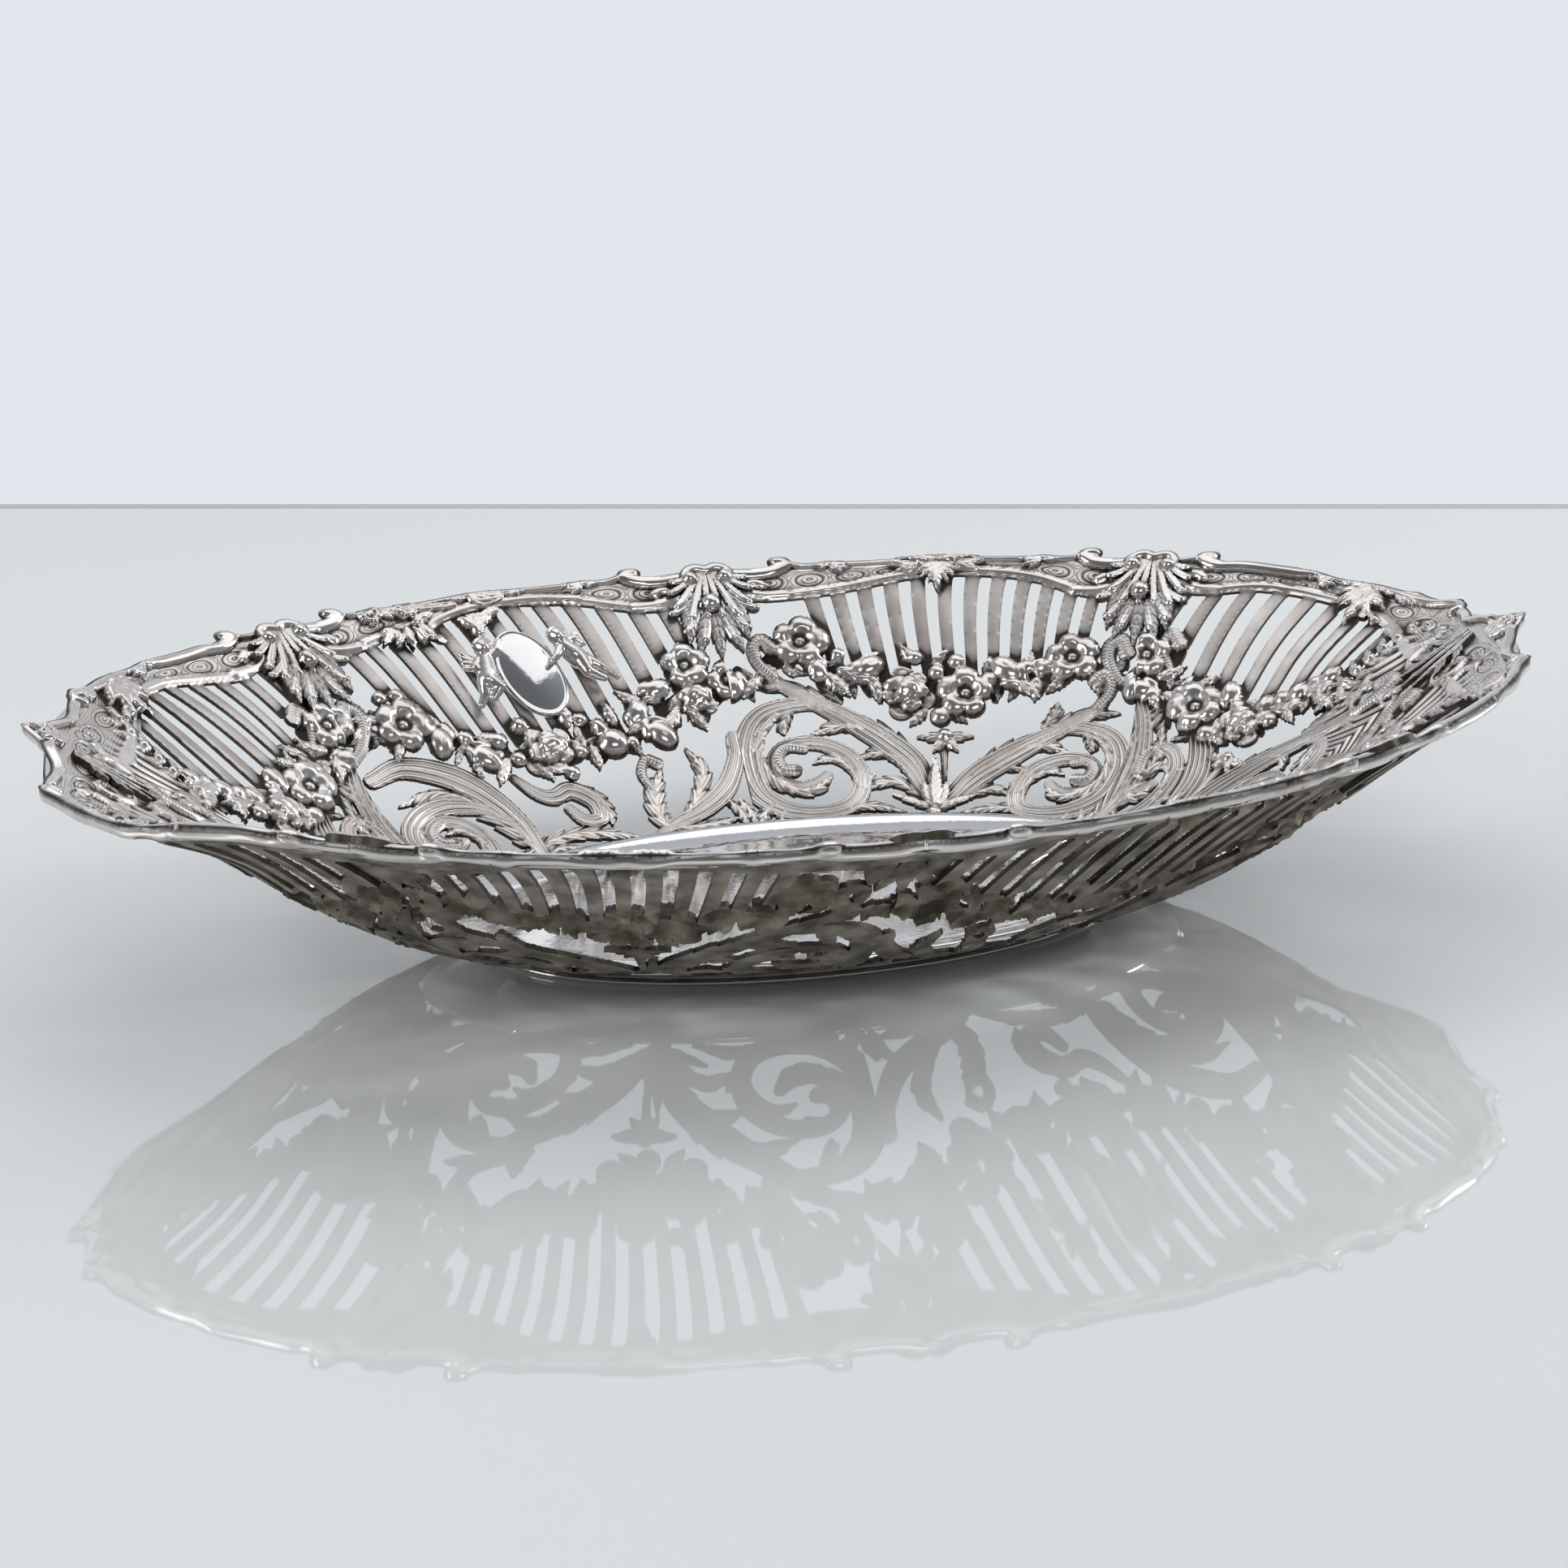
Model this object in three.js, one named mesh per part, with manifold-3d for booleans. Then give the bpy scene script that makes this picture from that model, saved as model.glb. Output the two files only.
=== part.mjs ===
// Oval pierced bowl with a raised and chased sheet body, an applied cast border and a low oval foot.
// Millimetres, +Z up, X along the bowl. The origin is on the table under the middle of the foot.
import * as THREE from 'three';
import { mergeVertices } from 'three/addons/utils/BufferGeometryUtils.js';
import Module from 'manifold-3d';

const wasm = await Module();
wasm.setup();

// Driving dimensions, millimetres
const rimHalfLength = 147.5; // middle to the outer border edge, along X
const rimHalfWidth = 92.5; // the same across, along Y
const wellEdgeHalfLength = 78; // plain well, where the piercing starts
const wellEdgeHalfWidth = 41;
const wellEdgeHeight = 7.0;
const wallRise = 41.5; // from the well edge to the rim
const tipRise = 2.8; // the rim climbs a little towards the two tips
const sheetThickness = 1.0;
const inlay = 0.25; // how far the bolder parts of the sheet stand behind the bars
const bossSeat = 0.5; // raised flowers start inside the sheet
const gap = 0.3; // left between pieces that are soldered or that touch
const seam = 0.36; // between two bays of the same sheet

const footHalfLength = 63;
const footHalfWidth = 30.8;
const footHeight = 5.0; // table to the underside of the well
const footWall = 1.2;
const footFlare = 3.2; // how far the foot leans in from its base to its neck
const footWireHeight = 1.2;
const footWireProud = 0.7; // the base wire stands out past the foot
const wellFloorHalfLength = 66; // flat middle of the well
const wellFloorHalfWidth = 34;

const barWidth = 2.9;
const slotWidth = 2.7;
const dropShare = 0.2; // part of a half bay that stays solid behind a leaf drop
const bandSheet = 1.3; // the engraved band is stouter than the bars
const galleryFootHeight = 3.2; // strip that joins the scrolls to the well edge
const stemWidth = 3.6;
const voluteWidth = 3.2;
const voluteRadius = 12.0;
const voluteEye = 3.4;
const flowerRadius = 5.8;
const flowerSpacing = 0.36; // along the garland, in half bays
const garlandNeck = 2.2; // half width between two flowers
const budRadius = 3.2;
const flowerHeight = 3.2;
const budHeight = 1.6;
const borderWidth = 4.4;
const borderHeight = 2.8;
const borderDrop = 1.2; // the border turns down below the sheet
const spikeLength = 3.8; // leaf point at each tip
const notchDepth = 4.6; // open scroll notch on both sides of it
const palmetteRadius = 4.2;
const shellRadius = 6.0;
const shellHeight = 1.2;
const dropLength = 11.5;
const tipDropLength = 13;
const dropWidth = 15;
const dropHeight = 2.6;
const medallionHalfLength = 9.4;
const medallionHalfWidth = 6.9;
const medallionHeight = 1.5;
const medallionLean = 19; // degrees, its top towards the near end of the bowl
const medallionSides = 20;
const puttoHeight = 13;
const puttoDepth = 3.6;
const puttoSide = 4.9; // from the medallion's edge to the middle of a figure
const limbSides = 5;

// Angles on the oval, degrees, and heights on the wall, 0 at the well edge to 1 at the rim
const cornerAngleAtWell = 34;
const cornerAngleAtRim = 48.8;
const sideAngle = 90; // middle of a long side
const sheetTop = 0.955;
const bandEdgeHigh = 0.935;
const bandEdgeDip = 0.05;
const garlandHigh = 0.7;
const garlandLow = 0.51;

const radians = THREE.MathUtils.degToRad;

// Wall surface
function wallHeight(v) {
  return wellEdgeHeight + wallRise * (0.35 * v + 1.35 * v * v - 0.7 * v * v * v);
}

function onWall(angle, v) {
  const halfLength = THREE.MathUtils.lerp(wellEdgeHalfLength, rimHalfLength, v);
  const halfWidth = THREE.MathUtils.lerp(wellEdgeHalfWidth, rimHalfWidth, v);
  const rise = tipRise * v * Math.cos(angle) ** 2;
  const x = halfLength * Math.cos(angle);
  const y = halfWidth * Math.sin(angle);
  return new THREE.Vector3(x, y, wallHeight(v) + rise);
}

// A bay is one of eight stretches of wall. s runs from -1 to 1 across it, away from the side's middle
// on a side bay and towards the tip on an end bay. The quarter says which mirror image it is.
function bayAngle(bay, s, v) {
  const ease = v * v * (3 - 2 * v);
  const corner = THREE.MathUtils.lerp(cornerAngleAtWell, cornerAngleAtRim, ease);
  const share = (s + 1) / 2;
  const inQuarter = bay.end ? corner * (1 - share) : sideAngle - (sideAngle - corner) * share;
  return radians([inQuarter, 180 - inQuarter, 180 + inQuarter, 360 - inQuarter][bay.quarter]);
}

// A point of the bay's surface with its two directions and the normal that looks into the bowl
function frameAt(bay, s, v) {
  const step = 0.004;
  const point = onWall(bayAngle(bay, s, v), v);
  const across = onWall(bayAngle(bay, s + step, v), v).sub(onWall(bayAngle(bay, s - step, v), v)).normalize();
  const up = onWall(bayAngle(bay, s, v + step), v + step).sub(onWall(bayAngle(bay, s, v - step), v - step));
  const normal = new THREE.Vector3().crossVectors(across, up).normalize();
  if (normal.z < 0) normal.negate();
  const outward = new THREE.Vector3().crossVectors(normal, across).normalize();
  if (outward.dot(up) < 0) outward.negate();
  return { point, across, outward, normal };
}

function lifted(frame, along, out, lift) {
  const place = frame.point.clone();
  place.addScaledVector(frame.across, along);
  place.addScaledVector(frame.outward, out);
  return place.addScaledVector(frame.normal, lift);
}

function bayWidth(bay, v) {
  return onWall(bayAngle(bay, -1, v), v).distanceTo(onWall(bayAngle(bay, 1, v), v));
}

// Solids
function toSolid(geometry) {
  const plain = geometry.clone();
  plain.deleteAttribute('normal');
  plain.deleteAttribute('uv');
  const merged = mergeVertices(plain, 1e-5);
  const vertProperties = new Float32Array(merged.attributes.position.array);
  const triVerts = new Uint32Array(merged.index.array);
  return new wasm.Manifold(new wasm.Mesh({ numProp: 3, vertProperties, triVerts }));
}

// Closed solid of points and triangles that all turn the same way, turned outwards if they look in
function solidOf(points, faces) {
  let volume = 0;
  for (const [a, b, c] of faces) {
    volume += points[a].dot(new THREE.Vector3().crossVectors(points[b], points[c]));
  }
  const index = faces.flatMap(([a, b, c]) => (volume < 0 ? [a, c, b] : [a, b, c]));
  const geometry = new THREE.BufferGeometry();
  geometry.setAttribute('position', new THREE.Float32BufferAttribute(points.flatMap((p) => p.toArray()), 3));
  geometry.setIndex(index);
  return toSolid(geometry);
}

// Rings of equal length, joined one to the next and closed with a fan at both ends
function solidOfRings(rings, closed = false) {
  const count = rings[0].length;
  const points = rings.flat();
  const faces = [];
  const steps = closed ? rings.length : rings.length - 1;
  for (let i = 0; i < steps; i++) {
    const here = i * count;
    const next = ((i + 1) % rings.length) * count;
    for (let j = 0; j < count; j++) {
      const k = (j + 1) % count;
      faces.push([here + j, here + k, next + k], [here + j, next + k, next + j]);
    }
  }
  if (!closed) {
    const last = (rings.length - 1) * count;
    for (let j = 1; j < count - 1; j++) {
      faces.push([0, j + 1, j], [last, last + j, last + j + 1]);
    }
  }
  return solidOf(points, faces);
}

function joined(solids) {
  return solids.reduce((whole, piece) => whole.add(piece));
}

// A flat strip that follows a line of [s, v] points on the wall, as wide as width(share) says
function strip(bay, line, width, low, high) {
  const frames = line.map(([s, v]) => frameAt(bay, s, v));
  const rings = frames.map((frame, i) => {
    const before = frames[Math.max(i - 1, 0)].point;
    const after = frames[Math.min(i + 1, frames.length - 1)].point;
    const along = after.clone().sub(before).normalize();
    const side = new THREE.Vector3().crossVectors(frame.normal, along).normalize();
    const half = width(i / (frames.length - 1)) / 2;
    const at = (where) => frame.point.clone().addScaledVector(side, where);
    const corner = (where, lift) => at(where).addScaledVector(frame.normal, lift);
    return [corner(-half, low), corner(half, low), corner(half, high), corner(-half, high)];
  });
  return solidOfRings(rings);
}

function lineOf(steps, place) {
  return Array.from({ length: steps + 1 }, (_, i) => place(i / steps));
}

// A low boss such as the root of a palmette or a bud
function boss(bay, s, v, radius, height, low, sides) {
  const frame = frameAt(bay, s, v);
  const ring = (share, lift) =>
    Array.from({ length: sides }, (_, j) => {
      const turn = (2 * Math.PI * j) / sides;
      const reach = radius * share;
      return lifted(frame, reach * Math.cos(turn), reach * Math.sin(turn), lift);
    });
  return solidOfRings([ring(1, low), ring(0.5, low + height)]);
}

// The band's lower edge rises in the middle of a bay and dips to the drops at its ends
function bandEdge(bay, s) {
  const wave = bandEdgeDip * (1 - Math.cos(Math.PI * s));
  const towardsTip = bay.end ? 0.075 * Math.max(0, s + 0.1) : 0;
  return bandEdgeHigh - wave - towardsTip;
}

function garlandAt(bay, s) {
  const sag = Math.cos((Math.PI * s) / 2);
  return garlandHigh - (garlandHigh - garlandLow) * sag;
}

// Between seam and seam, rows and columns of the wall give one thick sheet piece
function sheetPiece(bay, sOf, vOf, columns, rows, low, high) {
  const rings = lineOf(columns, (a) => {
    const lowSide = lineOf(rows, (b) => {
      const s = sOf(a, b);
      return lifted(frameAt(bay, s, vOf(s, b)), 0, 0, low);
    });
    const highSide = lineOf(rows, (b) => {
      const s = sOf(a, b);
      return lifted(frameAt(bay, s, vOf(s, b)), 0, 0, high);
    });
    return [...lowSide, ...highSide.reverse()];
  });
  return solidOfRings(rings);
}

function galleryFoot(bay, trim) {
  const wallDepth = onWall(bayAngle(bay, 0, 0.1), 0.1).distanceTo(onWall(bayAngle(bay, 0, 0), 0)) / 0.1;
  const low = gap / wallDepth;
  const high = galleryFootHeight / wallDepth;
  const sOf = (a) => THREE.MathUtils.lerp(-1 + trim, 1 - trim, a);
  return sheetPiece(bay, sOf, (s, b) => THREE.MathUtils.lerp(low, high, b), 6, 1, -inlay, sheetThickness);
}

// Columns of the bay from seam to seam: sheet behind a drop, then slots and bars in turn, then sheet
function barColumns(bay, trim) {
  const middle = (garlandLow + bandEdgeHigh) / 2;
  const perMm = 2 / bayWidth(bay, middle);
  const room = 2 * (1 - dropShare);
  const count = Math.floor((room / perMm - slotWidth) / (barWidth + slotWidth));
  const slot = (room - count * barWidth * perMm) / (count + 1);
  const edges = [-1 + trim];
  const solid = [true];
  let place = -1 + dropShare;
  for (let i = 0; i < count; i++) {
    edges.push(place, place + slot);
    solid.push(false, true);
    place += slot + barWidth * perMm;
  }
  edges.push(place, place + slot, 1 - trim);
  solid.push(false, true);
  return { edges, solid };
}

// Rows of the barred sheet from below: the garland's edge, two crests, its other edge, then the band.
// The garland is a rope of raised flowers, five swellings and two halves from one drop to the next.
function sheetRows(bay) {
  const depth = onWall(bayAngle(bay, 0, 0.65), 0.65).distanceTo(onWall(bayAngle(bay, 0, 0.55), 0.55)) / 0.1;
  const swelling = (s) => 0.5 - 0.5 * Math.cos((2 * Math.PI * s) / flowerSpacing);
  const half = (s) => THREE.MathUtils.lerp(garlandNeck, flowerRadius, swelling(s)) / depth;
  const crest = (s) => sheetThickness + THREE.MathUtils.lerp(budHeight, flowerHeight, swelling(s));
  const flat = () => sheetThickness;
  return [
    { heightOf: (s) => garlandAt(bay, s) - half(s), topOf: flat },
    { heightOf: (s) => garlandAt(bay, s) - half(s) * 0.5, topOf: crest },
    { heightOf: (s) => garlandAt(bay, s) + half(s) * 0.5, topOf: crest },
    { heightOf: (s) => garlandAt(bay, s) + half(s), topOf: flat },
    { heightOf: (s) => bandEdge(bay, s), topOf: flat },
    { heightOf: () => sheetTop, topOf: () => bandSheet },
  ];
}

const barRow = 3;

// Band, bars and garland in one sheet, open where a column is a slot
function barredSheet(bay, trim) {
  const { edges, solid } = barColumns(bay, trim);
  const sheetLines = sheetRows(bay);
  const rows = sheetLines.length;
  const points = edges.flatMap((s) =>
    sheetLines.flatMap(({ heightOf, topOf }) => {
      const frame = frameAt(bay, s, heightOf(s));
      return [lifted(frame, 0, 0, 0), lifted(frame, 0, 0, topOf(s))];
    }),
  );
  const at = (column, row, top) => (column * rows + row) * 2 + top;
  const present = (column, row) => {
    const inside = column >= 0 && column < edges.length - 1 && row >= 0 && row < rows - 1;
    return inside && (row !== barRow || solid[column]);
  };
  const faces = [];
  const quad = (a, b, c, d) => faces.push([a, b, c], [a, c, d]);
  for (let c = 0; c < edges.length - 1; c++) {
    for (let r = 0; r < rows - 1; r++) {
      if (!present(c, r)) continue;
      quad(at(c, r, 1), at(c + 1, r, 1), at(c + 1, r + 1, 1), at(c, r + 1, 1));
      quad(at(c, r, 0), at(c, r + 1, 0), at(c + 1, r + 1, 0), at(c + 1, r, 0));
      if (!present(c, r - 1)) quad(at(c, r, 0), at(c + 1, r, 0), at(c + 1, r, 1), at(c, r, 1));
      if (!present(c, r + 1)) quad(at(c + 1, r + 1, 0), at(c, r + 1, 0), at(c, r + 1, 1), at(c + 1, r + 1, 1));
      if (!present(c - 1, r)) quad(at(c, r + 1, 0), at(c, r, 0), at(c, r, 1), at(c, r + 1, 1));
      if (!present(c + 1, r)) quad(at(c + 1, r, 0), at(c + 1, r + 1, 0), at(c + 1, r + 1, 1), at(c + 1, r, 1));
    }
  }
  return solidOf(points, faces);
}

// Stem from the palmette at the well edge up to the curl beside a drop, with its volute below it
function scrollwork(bay, side) {
  const stem = lineOf(4, (share) => {
    const s = side * THREE.MathUtils.lerp(0.03, 0.8, Math.sin((share * Math.PI) / 2) ** 1.1);
    const v = THREE.MathUtils.lerp(0.06, garlandHigh - 0.1, share ** 1.25);
    return [s, v];
  });
  const centre = { s: side * (bay.end ? 0.5 : 0.6), v: 0.31 };
  const sPerMm = 2 / bayWidth(bay, centre.v);
  const vPerMm = 0.1 / onWall(bayAngle(bay, 0, 0.4), 0.4).distanceTo(onWall(bayAngle(bay, 0, 0.3), 0.3));
  const largest = bay.end ? voluteRadius * 0.78 : voluteRadius;
  const volute = lineOf(9, (share) => {
    const turn = THREE.MathUtils.lerp(0.62, -2.05, share) * Math.PI;
    const radius = THREE.MathUtils.lerp(largest, voluteEye, share);
    return [centre.s - side * radius * Math.cos(turn) * sPerMm, centre.v + radius * Math.sin(turn) * vPerMm];
  });
  const leaf = lineOf(1, (share) => [
    side * THREE.MathUtils.lerp(0.12, 0.42, share),
    THREE.MathUtils.lerp(0.05, 0.12, share),
  ]);
  return [
    strip(bay, stem, (share) => stemWidth * (1.15 - 0.35 * share), -inlay * 2, sheetThickness * 1.4),
    strip(bay, volute, (share) => voluteWidth * (1.1 - 0.3 * share), 0, sheetThickness),
    strip(bay, leaf, (share) => 3.4 * (1.2 - share), 0, sheetThickness),
  ];
}

function wallBay(bay) {
  const trim = seam / bayWidth(bay, sheetTop);
  const pieces = [barredSheet(bay, trim), galleryFoot(bay, trim)];
  for (const side of [-1, 1]) {
    pieces.push(...scrollwork(bay, side));
  }
  pieces.push(boss(bay, 0, 0.11, palmetteRadius, sheetThickness, bossSeat, 6));
  return joined(pieces);
}

// Applied border: a bold moulding with lobes, a shell in the middle, and a spike and notch at the tips
function borderReach(bay, s) {
  const lobes = 0.9 * Math.cos(2 * Math.PI * s) - 0.5 * Math.cos(5 * Math.PI * s);
  if (!bay.end) return lobes;
  const spike = spikeLength * Math.max(0, 1 - (1 - s) / 0.06);
  const notch = -notchDepth * Math.exp(-(((s - 0.885) / 0.05) ** 2));
  const corner = 1.6 * Math.exp(-(((s - 0.74) / 0.07) ** 2));
  return lobes * Math.min(1, (1 - s) / 0.3) + spike + notch + corner;
}

function borderRing(bay, s) {
  const frame = frameAt(bay, s, sheetTop);
  const reach = borderReach(bay, s);
  const section = [
    [gap, -borderDrop * 0.5],
    [gap, borderHeight * 0.75],
    [borderWidth * 0.5, borderHeight],
    [borderWidth + reach, borderHeight * 0.3],
    [borderWidth * 0.8 + reach, -borderDrop],
  ];
  return section.map(([out, lift]) => lifted(frame, 0, out, lift));
}

function border(bay) {
  const trim = seam / bayWidth(bay, sheetTop);
  const even = lineOf(14, (share) => THREE.MathUtils.lerp(-1 + trim, 1 - trim, share));
  const atTip = [0.83, 0.86, 0.89, 0.92, 0.945, 0.97];
  const places = bay.end ? [...even.filter((s) => s < 0.8 || s > 0.98), ...atTip].sort((a, b) => a - b) : even;
  const moulding = solidOfRings(places.map((s) => borderRing(bay, s)));
  const shell = boss(bay, 0, sheetTop + 0.035, shellRadius, shellHeight, borderHeight * 0.5, 8);
  return moulding.add(shell);
}

// Leaf drop that hangs from the rim over each seam: a ridged fan of leaves with a bud on it
function leafDrop(bay, side, tip) {
  const low = bandSheet + gap;
  const topPlace = sheetTop - 0.012;
  const depth = onWall(bayAngle(bay, side, 0.9), 0.9).distanceTo(onWall(bayAngle(bay, side, 0.8), 0.8)) / 0.1;
  const length = (tip ? tipDropLength : dropLength) / depth;
  const sPerMm = 2 / bayWidth(bay, 0.88);
  const ring = (share, half) => {
    const v = topPlace - length * share;
    const place = (where, lift) => lifted(frameAt(bay, side + where * half * sPerMm, v), 0, 0, lift);
    const crest = low + dropHeight * (1 - 0.4 * share);
    return [place(-1, low), place(1, low), place(0.5, crest), place(0, crest * 0.8), place(-0.5, crest)];
  };
  const fan = solidOfRings([
    ring(0, dropWidth * 0.32),
    ring(0.35, dropWidth * 0.5),
    ring(0.7, dropWidth * 0.42),
    ring(1, dropWidth * 0.1),
  ]);
  const bud = boss(bay, side, topPlace - length * 0.62, budRadius, dropHeight, low + dropHeight * 0.2, 6);
  return fan.add(bud);
}

// Plain oval medallion and its two small winged figures, applied over the bars
const medallionPlace = { s: -0.1, v: 0.715 };

function medallion(bay) {
  const frame = frameAt(bay, medallionPlace.s, medallionPlace.v);
  const low = sheetThickness + gap;
  const lean = radians(medallionLean);
  const ring = (share, lift) =>
    Array.from({ length: medallionSides }, (_, j) => {
      const turn = (2 * Math.PI * j) / medallionSides;
      const wide = medallionHalfWidth * share * Math.cos(turn);
      const long = medallionHalfLength * share * Math.sin(turn);
      const across = wide * Math.cos(lean) + long * Math.sin(lean);
      const out = long * Math.cos(lean) - wide * Math.sin(lean);
      return lifted(frame, across, out, lift);
    });
  return solidOfRings([ring(0.97, low), ring(1, low + medallionHeight * 0.5), ring(0.86, low + medallionHeight)]);
}

// A small figure: head, trunk, two arms and two legs as tapering limbs
function putto(bay, side) {
  const frame = frameAt(bay, medallionPlace.s, medallionPlace.v);
  const low = sheetThickness + gap;
  const middle = low + puttoDepth / 2;
  const reach = medallionHalfWidth + gap + puttoSide;
  const at = (x, y) => lifted(frame, side * (reach + x), y, middle);
  const limb = (from, to, thick, thin) => {
    const along = to.clone().sub(from).normalize();
    const wide = new THREE.Vector3().crossVectors(frame.normal, along).normalize();
    const ring = (place, radius) =>
      Array.from({ length: limbSides }, (_, j) => {
        const turn = (2 * Math.PI * j) / limbSides;
        const out = place.clone().addScaledVector(wide, radius * Math.cos(turn));
        return out.addScaledVector(frame.normal, (Math.sin(turn) * Math.min(radius * 2, puttoDepth)) / 2);
      });
    return solidOfRings([ring(from, thick), ring(to, thin)]);
  };
  const unit = puttoHeight / 13;
  const head = limb(at(0, 3.6 * unit), at(0, 6.6 * unit), 1.9 * unit, 1.5 * unit);
  const trunk = limb(at(0, -2.2 * unit), at(0, 3.9 * unit), 1.7 * unit, 2.2 * unit);
  const armUp = limb(at(0.4, 3.2 * unit), at(-2.6, 4.6 * unit), 1.0 * unit, 0.7 * unit);
  const armOut = limb(at(0.6, 3.0 * unit), at(3.4, 1.0 * unit), 1.0 * unit, 0.7 * unit);
  const legNear = limb(at(-0.4, -1.8 * unit), at(-1.4, -6.2 * unit), 1.3 * unit, 0.8 * unit);
  const legFar = limb(at(0.6, -1.8 * unit), at(2.0, -5.8 * unit), 1.3 * unit, 0.8 * unit);
  return joined([trunk, head, armUp, armOut, legNear, legFar]);
}

// Well, foot ring and base wire
function ovalRing(halfLength, halfWidth, z, sides) {
  return Array.from({ length: sides }, (_, j) => {
    const turn = (2 * Math.PI * j) / sides;
    return new THREE.Vector3(halfLength * Math.cos(turn), halfWidth * Math.sin(turn), z);
  });
}

function well() {
  const sides = 48;
  const floor = footHeight;
  const edge = wellEdgeHeight;
  const lower = [
    ovalRing(wellFloorHalfLength, wellFloorHalfWidth, floor, sides),
    ovalRing(wellEdgeHalfLength - gap, wellEdgeHalfWidth - gap, edge - 0.1, sides),
  ];
  const upper = [
    ovalRing(wellEdgeHalfLength - gap - 0.3, wellEdgeHalfWidth - gap - 0.3, edge + sheetThickness - 0.1, sides),
    ovalRing(wellFloorHalfLength, wellFloorHalfWidth, floor + sheetThickness, sides),
  ];
  return solidOfRings([...lower, ...upper]);
}

function ovalTube(profile, sides) {
  const rings = profile.map(([out, z]) => ovalRing(footHalfLength + out, footHalfWidth + out, z, sides));
  return solidOfRings(rings, true);
}

function footRing() {
  const neck = -footFlare;
  const base = footWireHeight;
  return ovalTube(
    [
      [-footWall, base],
      [0, base],
      [neck, footHeight],
      [neck - footWall, footHeight],
    ],
    36,
  );
}

function footWire() {
  const proud = footWireProud;
  return ovalTube(
    [
      [-footWall - proud, 0],
      [proud, 0],
      [proud, footWireHeight],
      [-footWall - proud, footWireHeight],
    ],
    36,
  );
}

// Finishes
const silver = { metalness: 1.0, roughness: 0.28 };
const sheetSilver = new THREE.MeshStandardMaterial({ color: 0xb5b0ab, ...silver });
const castSilver = new THREE.MeshStandardMaterial({ color: 0xc2bfbc, metalness: 1.0, roughness: 0.22 });
const polishedSilver = new THREE.MeshStandardMaterial({ color: 0xcfcfcf, metalness: 1.0, roughness: 0.12 });

const bowl = new THREE.Group();

function addPiece(name, solid, material) {
  const { vertProperties, triVerts } = solid.getMesh();
  const geometry = new THREE.BufferGeometry();
  geometry.setAttribute('position', new THREE.BufferAttribute(new Float32Array(vertProperties), 3));
  geometry.setIndex(new THREE.BufferAttribute(new Uint32Array(triVerts), 1));
  geometry.computeVertexNormals();
  const mesh = new THREE.Mesh(geometry, material);
  mesh.name = name;
  bowl.add(mesh);
}

const quarterNames = ['back_right', 'back_left', 'front_left', 'front_right'];

addPiece('well', well(), polishedSilver);
addPiece('foot_ring', footRing(), sheetSilver);
addPiece('foot_wire', footWire(), polishedSilver);

for (let quarter = 0; quarter < 4; quarter++) {
  const where = quarterNames[quarter];
  const sideBay = { end: false, quarter };
  const endBay = { end: true, quarter };
  addPiece(`side_wall_${where}`, wallBay(sideBay), sheetSilver);
  addPiece(`end_wall_${where}`, wallBay(endBay), sheetSilver);
  addPiece(`side_border_${where}`, border(sideBay), castSilver);
  addPiece(`end_border_${where}`, border(endBay), castSilver);
  addPiece(`corner_drop_${where}`, leafDrop(sideBay, 1, false), castSilver);
}

addPiece('side_drop_back', leafDrop({ end: false, quarter: 0 }, -1, false), castSilver);
addPiece('side_drop_front', leafDrop({ end: false, quarter: 2 }, -1, false), castSilver);
addPiece('tip_drop_right', leafDrop({ end: true, quarter: 0 }, 1, true), castSilver);
addPiece('tip_drop_left', leafDrop({ end: true, quarter: 2 }, 1, true), castSilver);

// The medallions are on the back left and the front right side bays, half a turn apart
for (const quarter of [1, 3]) {
  const bay = { end: false, quarter };
  const where = quarterNames[quarter];
  addPiece(`medallion_${where}`, medallion(bay), polishedSilver);
  addPiece(`putto_inner_${where}`, putto(bay, -1), castSilver);
  addPiece(`putto_outer_${where}`, putto(bay, 1), castSilver);
}

export default bowl;
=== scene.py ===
"""Looks of a pierced oval silver bowl: chased walls, cast rim, leaf drops, medallions, figures and foot."""

import math

import bmesh
import bpy
import numpy as np
from mathutils import Matrix, Vector


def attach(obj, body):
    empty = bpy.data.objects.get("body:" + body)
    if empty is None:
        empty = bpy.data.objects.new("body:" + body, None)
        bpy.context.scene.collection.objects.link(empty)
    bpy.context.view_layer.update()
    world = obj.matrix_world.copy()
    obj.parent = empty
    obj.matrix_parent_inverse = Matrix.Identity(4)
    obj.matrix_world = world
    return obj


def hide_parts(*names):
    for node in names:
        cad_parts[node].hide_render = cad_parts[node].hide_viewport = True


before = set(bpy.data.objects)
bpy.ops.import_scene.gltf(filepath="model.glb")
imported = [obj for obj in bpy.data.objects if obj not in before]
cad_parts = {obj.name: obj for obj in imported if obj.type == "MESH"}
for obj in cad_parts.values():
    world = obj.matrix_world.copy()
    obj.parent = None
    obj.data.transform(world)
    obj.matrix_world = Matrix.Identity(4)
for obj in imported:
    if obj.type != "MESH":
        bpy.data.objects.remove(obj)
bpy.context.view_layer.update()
FINE = 1.0
rng = np.random.default_rng(11)
MM = 0.001

# Sizes in millimetres, the same as the part's
WELL_EDGE = (78.0, 41.0)
WALL_SPREAD = (69.5, 51.5)
WELL_TOP = 7.0
WALL_RISE = 41.5
TIP_RISE = 2.8
FOOT = (63.0, 30.8)

# Heights up the wall as v, from the well's edge (0) to the rim (1), and the millimetres in one v
SHEET_TOP = 0.955
BAND_TOP = 0.985
WALL_SPAN = (-0.005, 0.992)
BORDER_SPAN = (0.935, 1.11)
BORDER_FOOT = 0.953
DROP_SPAN = (0.66, 1.06)
PER_V = 75.0

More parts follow.
